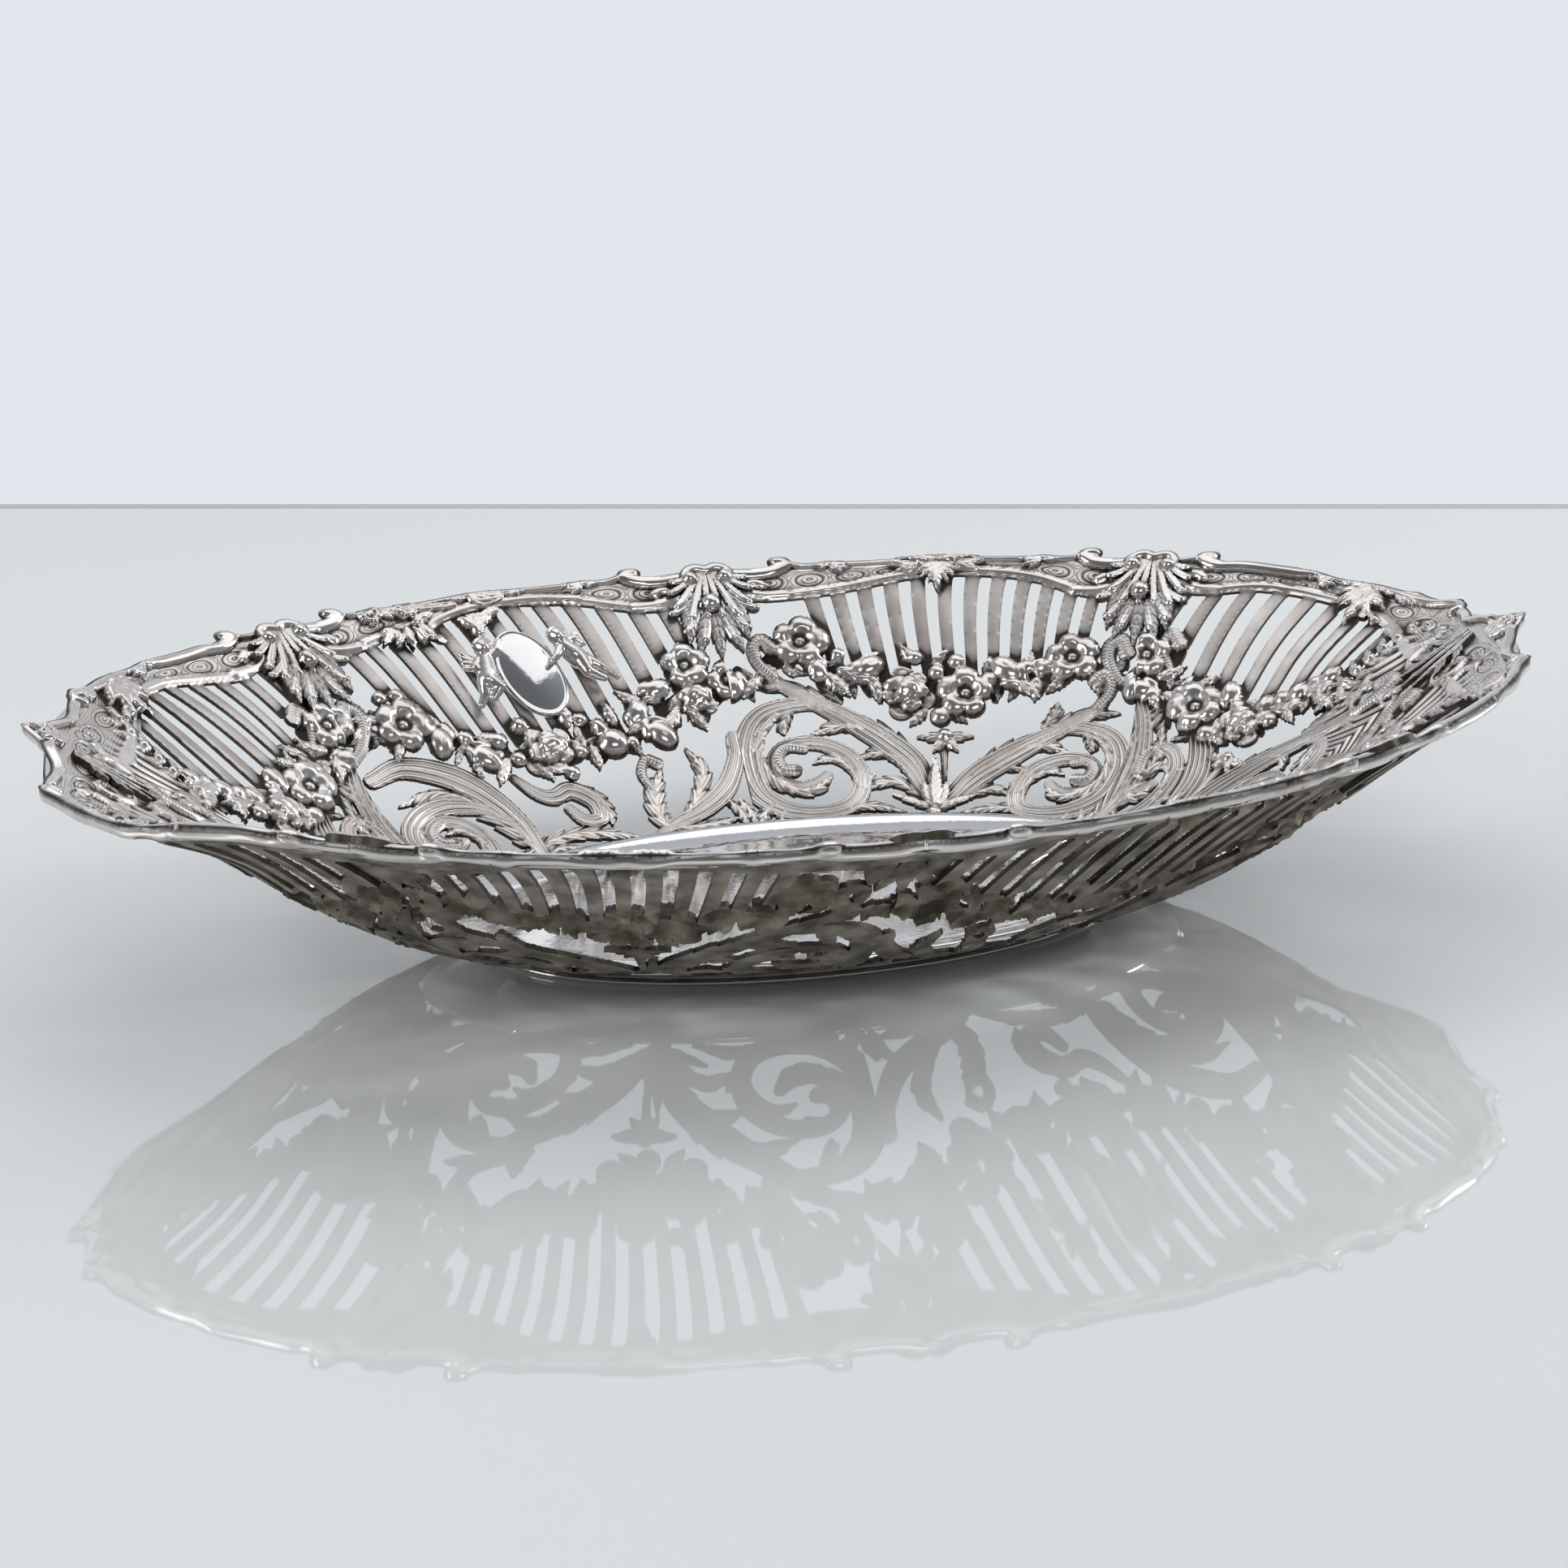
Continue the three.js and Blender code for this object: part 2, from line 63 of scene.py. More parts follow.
# The turn of a leaf that points toward the rim
UP = math.pi / 2


# Surface of the wall: angle round the bowl in degrees, v from the well (0) to the rim (1)
def ease(v):
    v = np.clip(v, 0, 1)
    return v * v * (3 - 2 * v)


def corner_angle(v):
    return 34 + 14.8 * ease(v)


def wall(angle, v):
    a = np.radians(angle)
    x = (WELL_EDGE[0] + WALL_SPREAD[0] * v) * np.cos(a)
    y = (WELL_EDGE[1] + WALL_SPREAD[1] * v) * np.sin(a)
    z = WELL_TOP + WALL_RISE * (0.35 * v + 1.35 * v * v - 0.7 * v**3) + TIP_RISE * v * np.cos(a) ** 2
    return np.stack([x, y, z], -1)


def bay_place(left, end):
    """Place of (s, v) in a bay of the back wall. s runs from -1 at the side's middle to 1 at the corner, or
    from -1 at the corner to 1 at the tip. The right end bay has its rim bent outward and down there."""

    def place(s, v):
        share = (np.asarray(s, float) + 1) / 2
        v = np.asarray(v, float)
        corner = corner_angle(v)
        angle = corner * (1 - share) if end else 90 - (90 - corner) * share
        at = wall(180 - angle if left else angle, v)
        if end and not left:
            bend = 3.2 * ease((v - 0.66) / 0.34) * ease((share - 0.2) / 0.3) * ease((1 - share) / 0.26)
            a = np.radians(angle)
            at = at + np.stack([bend * np.cos(a), bend * np.sin(a), -bend], -1)
        return at

    return place


def through(s, knots):
    """A smooth line through (s, height) knots."""
    at, high = np.array(knots, float).T
    s = np.clip(np.asarray(s, float), at[0], at[-1])
    i = np.clip(np.searchsorted(at, s) - 1, 0, len(at) - 2)
    slope = np.gradient(high, at)
    step = at[i + 1] - at[i]
    f = (s - at[i]) / step
    rise = ease(f)
    bend = (f**3 - 2 * f**2 + f) * slope[i] + (f**3 - f**2) * slope[i + 1]
    return high[i] * (1 - rise) + high[i + 1] * rise + bend * step


# The four bays of the back wall. band and vine are the band's lower edge and the garland's line as (s, v);
# edge is where the reeded sheet beside the tip begins, as (v, s); bars are the first bar, their spacing and
# number at v = 0.9; fan is how far each leans below that, as (s, lean)
BAYS = {
    "end_back_left": dict(
        left=True, end=True, bars=(-0.80, 0.125, 10),
        fan=((-0.31, -0.53), (-0.07, -0.03), (0.15, 0.40), (0.5, 0.45)),
        band=((-1, 0.90), (-0.85, 0.89), (-0.68, 0.865), (-0.5, 0.885), (-0.25, 0.915), (-0.05, 0.90),
              (0.09, 0.86), (0.27, 0.815), (0.45, 0.80), (1, 0.78)),
        vine=((-1, 0.66), (-0.6, 0.56), (-0.3, 0.50), (0, 0.50), (0.3, 0.57), (0.6, 0.64), (1, 0.70)),
        edge=((0.5, 0.42), (0.70, 0.37), (0.80, 0.30), (0.92, 0.20)),
    ),
    "side_back_left": dict(
        left=True, end=False, bars=(-0.78, 0.1275, 13), fan=((-1, -0.42), (0, -0.42), (1, -0.77)),
        band=((-1, 0.90), (-0.74, 0.868), (-0.38, 0.928), (0.12, 0.948), (0.50, 0.893), (0.75, 0.862),
              (1, 0.885)),
        vine=((-1, 0.58), (-0.8, 0.565), (-0.6, 0.49), (-0.4, 0.43), (-0.1, 0.42), (0.2, 0.46),
              (0.42, 0.54), (0.7, 0.60), (1, 0.61)),
    ),
    "side_back_right": dict(
        left=False, end=False, bars=(-0.56, 0.121, 12), fan=((-1, 0.45), (1, -0.45)),
        band=((-1, 0.90), (-0.75, 0.872), (-0.5, 0.882), (0, 0.938), (0.45, 0.912), (0.72, 0.855), (1, 0.88)),
        vine=((-1, 0.60), (-0.64, 0.67), (-0.4, 0.58), (-0.1, 0.52), (0.1, 0.52), (0.35, 0.56),
              (0.65, 0.62), (1, 0.58)),
    ),
    "end_back_right": dict(
        left=False, end=True, bars=(-0.80, 0.139, 10), fan=((-1, -0.84), (0, 0.16), (1, 0.66)),
        band=((-1, 0.90), (-0.77, 0.878), (-0.44, 0.913), (-0.10, 0.916), (0.30, 0.861), (0.56, 0.806),
              (1, 0.78)),
        vine=((-1, 0.62), (-0.56, 0.51), (-0.3, 0.50), (-0.05, 0.50), (0.14, 0.56), (0.3, 0.62),
              (0.6, 0.66), (1, 0.72)),
        edge=((0.5, 0.50), (0.62, 0.48), (0.79, 0.446), (0.92, 0.445)),
    ),
}

# Where a piece stands, and where its copy stands, half way round the bowl
OPPOSITE = {"back_left": "front_right", "back_right": "front_left", "back": "front", "right": "left"}


def directions(place, s, v, step=0.004):
    """A place on the wall, the unit direction along s there, and the one across it toward the rim."""
    o = place(s, v)
    a = place(s + step, v) - o
    a /= np.linalg.norm(a)
    b = place(s, v + step) - o
    b -= a * (a @ b)
    b /= np.linalg.norm(b)
    return o, a, b


class Relief:
    """A height field over part of the wall. H is the height above the sheet and M the distance inside the
    outline, in millimetres; tone, polish, line and chase are looks of the surface."""

    def __init__(self, place, s_span, v_span, across, along):
        s = np.linspace(*s_span, across)
        v = np.linspace(*v_span, along)
        self.S, self.V = np.meshgrid(s, v)
        self.place = place
        self.P = place(self.S, self.V)
        n = np.cross(np.gradient(self.P, axis=1), np.gradient(self.P, axis=0))
        n /= np.linalg.norm(n, axis=-1, keepdims=True)
        into = -self.P * [1, 1, 0] + [0, 0, 40]
        self.handed = 1.0 if (n * into).sum() > 0 else -1.0
        self.N = n * self.handed
        self.flat = self.P.reshape(-1, 3)
        self.flatN = self.N.reshape(-1, 3)
        count = len(self.flat)
        self.H = np.zeros(count)
        self.M = np.full(count, -3.0)
        self.tone = np.zeros(count)
        self.polish = np.zeros(count)
        self.line = np.zeros(count)
        self.chase = np.zeros(count)

    def near(self, s, v, reach, turn=0.0):
        """Points within reach of (s, v), and their x along s and y toward the rim in millimetres, turned."""
        o, a, b = directions(self.place, s, v)
        d = self.flat - o
        idx = np.nonzero((np.abs(d) < reach).all(1))[0]
        d = d[idx]
        x, y = d @ a, d @ b
        c, w = math.cos(turn), math.sin(turn)
        return idx, x * c + y * w, -x * w + y * c

    def curve(self, points, step=0.5):
        """A smooth line through (s, v) points: its places, directions, left-hand directions and lengths."""
        k = np.array([self.place(*p) for p in points])
        k = np.vstack([2 * k[0] - k[1], k, 2 * k[-1] - k[-2]])
        parts = []
        for i in range(1, len(k) - 2):
            n = max(3, int(np.linalg.norm(k[i + 1] - k[i]) / step))
            t = np.linspace(0, 1, n, endpoint=False)[:, None]
            a, b, c, d = k[i - 1], k[i], k[i + 1], k[i + 2]
            square, cube = (2 * a - 5 * b + 4 * c - d) * t**2, (3 * b - a - 3 * c + d) * t**3
            parts.append(0.5 * (2 * b + (c - a) * t + square + cube))
        line = np.vstack(parts + [k[-2][None]])
        tangent = np.gradient(line, axis=0)
        tangent /= np.linalg.norm(tangent, axis=1, keepdims=True)
        coarse = self.flat[::7]
        near = ((line[:, None, :] - coarse[None]) ** 2).sum(2).argmin(1)
        left = np.cross(self.flatN[::7][near], tangent) * self.handed
        left /= np.linalg.norm(left, axis=1, keepdims=True)
        length = np.concatenate([[0], np.cumsum(np.linalg.norm(np.diff(line, axis=0), axis=1))])
        return line, tangent, left, length

    def along(self, points, reach):
        """Points within reach of a curve: share and length along it, distance to its left, overshoot."""
        line, tangent, left, length = self.curve(points)
        inside = ((self.flat > line.min(0) - reach) & (self.flat < line.max(0) + reach)).all(1)
        idx = np.nonzero(inside)[0]
        if len(idx) == 0:
            return idx, *(np.zeros(0),) * 4
        near = np.empty(len(idx), int)
        for i in range(0, len(idx), 4000):
            block = self.flat[idx[i : i + 4000]]
            near[i : i + 4000] = ((block[:, None, :] - line[None]) ** 2).sum(2).argmin(1)
        r = self.flat[idx] - line[near]
        ahead = (r * tangent[near]).sum(1)
        side = (r * left[near]).sum(1)
        before = np.where(near == 0, np.maximum(0, -ahead), 0)
        past = np.where(near == len(line) - 1, np.maximum(0, ahead), 0)
        run = np.clip(length[near] + ahead, 0, length[-1])
        keep = np.abs(side) < reach
        return idx[keep], run[keep] / length[-1], run[keep], side[keep], (before + past)[keep]

    def press(self, idx, mask, height, tone=0.0, polish=0.0, line=None, chase=0.0):
        """Adds a form. mask is the distance inside its outline and height its relief above the sheet. line
        and chase are the count and the depth of the lines engraved on it."""
        self.M[idx] = np.maximum(self.M[idx], mask)
        on = mask > 0
        at = idx[on]
        higher = height[on] > self.H[at]
        at = at[higher]
        self.H[at] = height[on][higher]
        chase = 0.0 if line is None else chase
        looks = ((self.tone, tone), (self.polish, polish), (self.line, line), (self.chase, chase))
        for field, value in looks:
            if value is not None:
                field[at] = value[on][higher] if isinstance(value, np.ndarray) else value


def groove(x, width):
    return np.exp(-((x / width) ** 2))


def dome(q):
    return np.sqrt(np.clip(1 - q * q, 0, 1))


# Forms pressed into the sheet
def stem(r, points, widths, lift=0.3, crown=0.9, flutes=3, tone=0.0):
    """A stem with flutes along it; widths are spread evenly over its length."""
    idx, u, _, d, over = r.along(points, max(widths) + 1)
    w = np.interp(u, np.linspace(0, 1, len(widths)), widths) / 2
    q = d / np.maximum(w, 0.1)
    h = lift + crown * dome(q * 0.9)
    deep = np.clip(w - 0.7, 0, 1)
    for i in range(1, flutes):
        h -= 0.42 * deep * groove((q - (2 * i / flutes - 1)) * w, 0.26)
    r.press(idx, w - np.hypot(d, over), h, tone, line=(q + 1) * flutes, chase=0.8)


def acanthus(r, points, half, lobes=6, lift=0.25, crown=0.9, sides=(1.0, 1.0), sweep=0.55, blunt=0.35,
             tone=0.0):
    """A leaf along a line, its edges cut into lobes that point forward, with a midrib and engraved veins."""
    idx, u, run, d, over = r.along(points, half * 1.6 + 1)
    if len(idx) == 0:
        return
    half = half * 1.18
    total = max(run.max(), 1)
    side = np.where(d > 0, sides[0], sides[1])
    body = np.sin(np.pi * np.clip(u * (1 - blunt) + blunt * 0.5 + 0.02, 0, 1)) ** 0.7
    body *= np.clip((1.02 - u) / 0.25, 0.0, 1) ** 0.7
    whole = half * side * body
    f = (lobes * (u - sweep * np.abs(d) / total * 1.5)) % 1
    w = whole * (0.62 + 0.38 * f**0.6 * np.clip((1 - f) * 6, 0, 1) ** 0.5)
    q = np.abs(d) / np.maximum(whole, 0.15)
    h = lift + crown * (1 - q * q) * 0.65 + 0.2 * f * q
    h -= 0.4 * groove(np.minimum(f, 1 - f) * total / lobes, 0.3) * np.clip(q * 1.6, 0, 1)
    h += 0.2 * groove(d, 0.35)
    veins = (np.abs(d) - 0.32 * run) / 0.85
    r.press(idx, w - np.hypot(d, over) - over, h, tone, line=veins, chase=0.7)


def curl(r, points, width, lift=0.5, crown=1.3, tone=0.25):
    """A stem end that rolls over, with fine ribs across its hollow."""
    idx, u, run, d, over = r.along(points, width + 1)
    w = width / 2 * (0.75 + 0.5 * u)
    q = d / w
    h = lift + crown * dome(q * 0.95) * (0.6 + 0.4 * u) - 0.3 * groove((q - 0.45) * w, 0.25)
    ribs, rib_depth = run / 0.75, np.clip(1.2 - np.abs(q + 0.1), 0, 1)
    r.press(idx, w - np.hypot(d, over), h, tone, line=ribs, chase=rib_depth)


def finger(r, s, v, length, half, turn, lift=0.6, curved=0.0, high=1.0, polish=0.8):
    """A smooth club-shaped leaf lobe, narrow at its root and full at its tip."""
    idx, x, y = r.near(s, v, length * 1.3, turn)
    u = np.clip(x / length, 0, 1)
    d = y - curved * length * u * u * 0.4
    w = half * (0.38 + 0.62 * u**0.8)
    over = np.maximum(-x, 0) + np.maximum(x - length + half, 0)
    q = np.hypot(d, over) / w
    h = lift + high * half * (0.45 + 0.55 * u) * dome(q) - 0.25 * groove(d, 0.22) * (u < 0.8)
    r.press(idx, (1 - q) * w, h, polish=polish)


def leaf(r, s, v, length, half, turn, lift=0.5, curved=0.0, teeth=4, high=1.0, tone=0.0, polish=0.3):
    """A small pointed leaf with toothed edges, starting at (s, v)."""
    idx, x, y = r.near(s, v, length * 1.15, turn)
    u = x / length
    d = y - curved * length * (u * u) * 0.4
    body = half * np.sin(np.pi * np.clip(u, 0, 1) ** 0.75)
    f = (teeth * (u - 0.7 * np.abs(d) / length)) % 1
    w = body * (0.66 + 0.34 * f**0.7)
    q = np.abs(d) / np.maximum(body, 0.1)
    h = lift + high * (0.45 * half * (1 - q * q) + 0.25) - 0.3 * groove(d, 0.22)
    h += 0.25 * u - 0.2 * groove(np.minimum(f, 1 - f) * length / teeth, 0.22) * (q > 0.15)
    m = np.where((u > 0) & (u < 1), w - np.abs(d), -2.0)
    r.press(idx, m, h, tone, polish, line=(np.abs(d) - 0.4 * x) / 0.8, chase=0.5)


def flower(r, s, v, radius, turn=0.0, lift=0.9, petals=5):
    """A flower of round glossy petals, cupped at their roots, round a rough centre."""
    idx, x, y = r.near(s, v, radius * 1.25, turn)
    rho = np.hypot(x, y) / radius
    m = (0.55 - rho) * radius
    h = np.where(rho < 0.55, 0.3, -1.0)
    for k in range(petals):
        a = 2 * np.pi * (k + 0.08 * math.sin(k * 7 + turn * 5)) / petals
        size = radius * (0.45 + 0.04 * math.cos(k * 5 + turn * 9))
        px, py = x - radius * 0.57 * math.cos(a), y - radius * 0.57 * math.sin(a)
        along, across = px * math.cos(a) + py * math.sin(a), py * math.cos(a) - px * math.sin(a)
        q = np.hypot(along / size, across / (size * (1.06 + 0.1 * math.sin(k * 3 + turn))))
        notch = 0.25 * groove(across, size * 0.16) * np.clip(along / size, 0, 1)
        cup = 0.75 * groove(along + size * 0.55, size * 0.34) * groove(across, size * 0.45)
        body = lift + radius * 0.33 * dome(q) ** 0.9 - cup - notch + 0.08 * k % 0.3
        h = np.maximum(h, np.where(q < 1, body, -1))
        m = np.maximum(m, (1 - q) * size)
    knob = lift * 0.6 + radius * 0.26 * dome(rho / 0.25) + 0.14 * np.sin(x * 5.2) * np.sin(y * 5.2)
    h = np.where(rho < 0.25, knob, h)
    r.press(idx, m, h, tone=0.12, polish=0.5)


def rose(r, s, v, radius, turn=0.0, lift=0.8):
    """A rose: overlapping round petals, higher toward a tight centre."""
    idx, x, y = r.near(s, v, radius * 1.25, turn)
    m = (0.8 - np.hypot(x, y) / radius) * radius
    h = np.full(len(idx), lift * 0.4)
    for k in range(13):
        a = 2.4 * k
        far = radius * (0.10 + 0.052 * k)
        size = radius * (0.22 + 0.018 * k)
        px, py = x - far * math.cos(a), y - far * math.sin(a)
        q = np.hypot(px, py) / size
        outer = (px * math.cos(a) + py * math.sin(a)) / size
        body = lift + radius * (0.50 - 0.034 * k) + 0.3 * outer
        body = body - 0.6 * (1 - dome(q * 0.97)) - 0.2 * groove(q - 0.55, 0.12)
        h = np.where(q < 1, np.maximum(h, body), h)
        m = np.maximum(m, (1 - q) * size)
    r.press(idx, m, h, tone=0.12, polish=0.45)


def ball(r, s, v, radius, lift=0.6, stretch=1.0, turn=0.0, cap=True, high=1.0):
    """A bud or berry, with two small sepals at its foot."""
    idx, x, y = r.near(s, v, radius * (1.9 + stretch), turn)
    q = np.hypot(x / radius, y / (radius * stretch))
    h = lift + radius * 0.8 * high * dome(q) - 0.25 * groove(x, 0.2) * (y > 0) * (stretch > 1.1)
    r.press(idx, (1 - q) * radius, h, tone=0.05, polish=0.6)
    if cap:
        for side in (-1, 1):
            px, py = x - side * radius * 0.65, y + radius * stretch * 0.75
            c, w = math.cos(side * 0.6), math.sin(side * 0.6)
            px, py = px * c - py * w, px * w + py * c
            q = np.hypot(px / (radius * 0.42), py / (radius * 0.9))
            r.press(idx, (1 - q) * radius * 0.42, lift + 0.55 * radius * dome(q), polish=0.5)


def pear(r, s, v, turn, size):
    """A smooth pear, its neck narrower than its belly."""
    idx, x, y = r.near(s, v, 11 * size, turn)
    belly = np.hypot(x / 3.7, (y - 1.5 * size) / 4.0) / size
    neck = np.hypot(x / 1.9, (y + 3.0 * size) / 3.4) / size
    m = np.maximum((1 - belly) * 3.7, (1 - neck) * 1.9)
    r.press(idx, m, 0.7 + np.maximum(dome(belly) * 3.1, dome(neck) * 2.1), polish=0.9)


def scroll(r, points, width, height, base=0.4, polish=0.7, ends=(1.0, 1.0)):
    """A bright half-round moulding along a line, with a rounded eye at its ends."""
    idx, _, run, d, over = r.along(points, width * 1.6 + 1)
    swell = (ends[0] - 1) * groove(run, width * 0.7) + (ends[1] - 1) * groove(run - run.max(initial=0),
                                                                              width * 0.7)
    w = width / 2 * (1 + swell)
    q = np.hypot(d, over) / w
    r.press(idx, w - np.hypot(d, over), base + height * dome(q), polish=polish)


def ribbon(r, points, width, lift=0.55):
    """A flat satin ribbon with a fine line along each edge."""
    idx, _, _, d, over = r.along(points, width)
    m = width / 2 - np.hypot(d, over)
    h = lift + 0.3 * dome(d / width * 1.8) - 0.35 * groove(m - 0.42, 0.16)
    r.press(idx, m, h, polish=0.35)


# Parts of a wall bay
BAR_WIDTH = 2.75
END_BAR_WIDTH = 2.35
BAR_SPACING = 5.2


def bars(r, bay):
    """Flat bars between the garland and the band; each leans by its fan share below the band."""
    first, step, count = bay["bars"]
    fan_at, fan_lean = np.array(bay["fan"]).T
    top = np.linspace(-2, 2, 161)
    lean = np.interp(top, fan_at, fan_lean)
    t = np.stack([np.interp(s, top + lean * (0.9 - v[0]), top) for s, v in zip(r.S, r.V)]).ravel()
    s, v = r.S.ravel(), r.V.ravel()
    share = (t - first) / step
    pitch = np.linalg.norm(r.place(s + step / 2, v) - r.place(s - step / 2, v), axis=1)
    slant = np.cos(np.arctan(np.interp(t, fan_at, fan_lean) * pitch / step / PER_V))
    d = np.abs(share - np.round(share)) * pitch * slant
    room = np.minimum(v - through(s, bay["vine"]), through(s, bay["band"]) - v + 0.02) * PER_V + 2.0
    width = END_BAR_WIDTH if bay["end"] else BAR_WIDTH
    half = width * np.clip(pitch * slant / BAR_SPACING, 0.6, 1.2) / 2
    idx = np.nonzero((share > -0.5) & (share < count - 0.5) & (room > 0))[0]
    h = 0.45 - 0.1 * (d[idx] / half[idx]) ** 2
    low = np.clip(1 - (room[idx] - 2) / 9, 0, 1)
    r.press(idx, np.minimum(half - d, room)[idx], h, tone=0.5 + 0.45 * low, polish=0.25)


def band_ovals(r, line, low, edge):
    """Engraved ovals in a row between the band's lower edge and the rim, larger where there is more room."""
    v = r.V.ravel()
    at, _, run, d, _ = r.along(list(zip(line, (low + BAND_TOP) / 2 + 0.012)), 5.6)
    above = (v[at] - edge[at]) * PER_V
    on = above > 1.6
    at, run, d, above = at[on], run[on], d[on], above[on]
    room = (BAND_TOP - edge[at]) * PER_V
    size = np.clip((room - 2.6) / 3.2, 0.3, 2.0)
    pitch, half_length, half_width = 9.2, 4.3, 1.35
    f = (run / pitch) % 1 - 0.5
    e = np.hypot(f * pitch / half_length, d / (half_width * size))
    inside = e < 1.15
    relief = 0.13 * groove(e - 1, 0.16) + 0.12 * groove(e - 0.35, 0.2) - 0.12 * groove(e - 0.7, 0.14)
    relief += 0.1 * groove(np.abs(d) - (1.8 + 0.4 * np.cos(f * 2 * np.pi)) * size, 0.25)
    r.H[at] += relief
    r.line[at] = np.where(inside, e * 3.5, above / 0.62)
    r.chase[at] = np.where(inside, 0.85, 0.45)


def band(r, bay):
    """The band under the rim: sheet with engraved ovals, a flat ribbon along its lower edge, and hooks."""
    v = r.V.ravel()
    edge = through(r.S.ravel(), bay["band"])
    idx = np.nonzero(v > edge - 0.03)[0]
    r.press(idx, (v[idx] - edge[idx]) * PER_V, np.full(len(idx), 0.35), tone=0.1, polish=0.2)
    line = np.linspace(-1, 1, 33)
    low = through(line, bay["band"])
    band_ovals(r, line, low, edge)
    ribbon(r, [(a, b + 0.019) for a, b in zip(line, low)], 2.2, 0.62)
    ribbon(r, [(a, b + 0.003) for a, b in zip(line, low)], 0.7, 0.5)
    for way in (-1,) if bay["end"] else (-1, 1):
        foot = float(through(way * 0.72, bay["band"]))
        hook = ((0.66, 0.019), (0.76, 0.021), (0.83, 0.036), (0.845, 0.06), (0.80, 0.074), (0.765, 0.062))
        ribbon(r, [(way * a, foot + b) for a, b in hook], 2.3, 0.95)


def mirrored(points, flip):
    """Gallery places for one side: the sign of flip mirrors them and its size is how high they stand."""
    return [(math.copysign(1, flip) * s, v * abs(flip)) for s, v in points]


# The line of the volute
SPIRAL = ((-0.47, 0.435), (-0.60, 0.49), (-0.71, 0.50), (-0.84, 0.48), (-0.92, 0.435), (-0.97, 0.36),
          (-0.98, 0.28), (-0.965, 0.19), (-0.92, 0.125), (-0.82, 0.065), (-0.68, 0.04), (-0.53, 0.055),
          (-0.445, 0.12), (-0.43, 0.21), (-0.475, 0.29), (-0.57, 0.34), (-0.68, 0.36), (-0.785, 0.35),
          (-0.85, 0.305), (-0.84, 0.235), (-0.76, 0.185), (-0.66, 0.195), (-0.60, 0.225))


def gallery(r, flip):
    """Lower scrollwork on one side of a bay: a fluted stem, a volute and leaves. flip mirrors it."""

    def frond(points, half, lobes, lift, crown, sides=(1, 1), **more):
        pair = sides if flip > 0 else (sides[1], sides[0])
        acanthus(r, mirrored(points, flip), half, lobes, lift, crown, pair, **more)

    low = (0.45, 1.15)
    frond([(-0.02, 0.04), (-0.15, 0.13), (-0.27, 0.18), (-0.42, 0.15)], 2.1, 5, 0.2, 0.6, low, sweep=0.8)
    frond([(-0.06, 0.12), (-0.20, 0.235), (-0.31, 0.30), (-0.46, 0.285)], 2.5, 5, 0.25, 0.7, low, sweep=0.8)
    frond([(-0.17, 0.26), (-0.31, 0.36), (-0.47, 0.41), (-0.66, 0.385)], 2.9, 6, 0.3, 0.8, low, sweep=0.8)
    frond([(-0.55, 0.50), (-0.68, 0.55), (-0.80, 0.565), (-0.92, 0.575)], 1.9, 4, 0.3, 0.7, (0.6, 1),
          tone=0.3)
    frond([(-0.50, 0.50), (-0.55, 0.55), (-0.57, 0.61)], 1.7, 3, 0.3, 0.7, tone=0.4)
    # the volute, from its broad leafy back to the tongue inside it
    widths = [1.8, 2.8, 4.0, 5.2, 6.0, 6.0, 5.4, 4.8, 4.4, 4.0, 3.8, 3.6, 3.4, 3.2, 3.0, 2.4]
    stem(r, mirrored(SPIRAL, flip), widths, 0.3, 0.8, 4, tone=0.06)
    frond([(-0.80, 0.46), (-0.88, 0.39), (-0.90, 0.29), (-0.84, 0.20), (-0.76, 0.15)], 2.5, 6, 0.35, 0.9,
          (0.2, 1.2), sweep=0.9, blunt=0.2)
    frond([(-0.74, 0.475), (-0.78, 0.43), (-0.78, 0.395)], 1.5, 3, 0.3, 0.6)
    frond([(-0.45, 0.17), (-0.49, 0.24), (-0.57, 0.285), (-0.67, 0.275)], 1.9, 5, 0.3, 0.8, (0.3, 1.2),
          sweep=0.8)
    frond([(-0.84, 0.215), (-0.76, 0.165), (-0.66, 0.165), (-0.58, 0.215)], 1.9, 4, 0.4, 0.8, (1, 0.8))
    frond([(-0.41, 0.14), (-0.385, 0.20), (-0.36, 0.225)], 0.9, 2, 0.2, 0.5)
    curl(r, mirrored([(-0.70, 0.335), (-0.78, 0.345), (-0.83, 0.31), (-0.815, 0.26), (-0.76, 0.25)], flip),
         2.6, 0.5, 1.2, 0.2)
    frond([(-0.78, 0.045), (-0.60, 0.04), (-0.38, 0.065), (-0.16, 0.02)], 1.8, 6, 0.25, 0.6, (1, 0.7),
          sweep=0.9)
    # the broad stem, over the roots of the leaves
    path = [(-0.005, 0.01), (-0.05, 0.10), (-0.165, 0.25), (-0.30, 0.345), (-0.45, 0.425), (-0.59, 0.49),
            (-0.71, 0.545), (-0.79, 0.595), (-0.835, 0.645)]
    stem(r, mirrored(path, flip), [2.4, 4.0, 5.8, 6.2, 5.6, 4.6, 3.6, 3.0, 2.8], 0.4, 0.9, 5, tone=0.08)
    curl(r, mirrored([(-0.79, 0.60), (-0.845, 0.65), (-0.855, 0.70), (-0.815, 0.725), (-0.775, 0.70)],
                     flip), 3.0, 0.7, 1.5, 0.4)
    # feet beside the seam
    frond([(-0.90, 0.10), (-0.955, 0.06), (-0.985, 0.005)], 1.5, 3, 0.25, 0.6)
    frond([(-0.84, 0.065), (-0.87, 0.03), (-0.86, 0.0)], 1.2, 2, 0.25, 0.6)


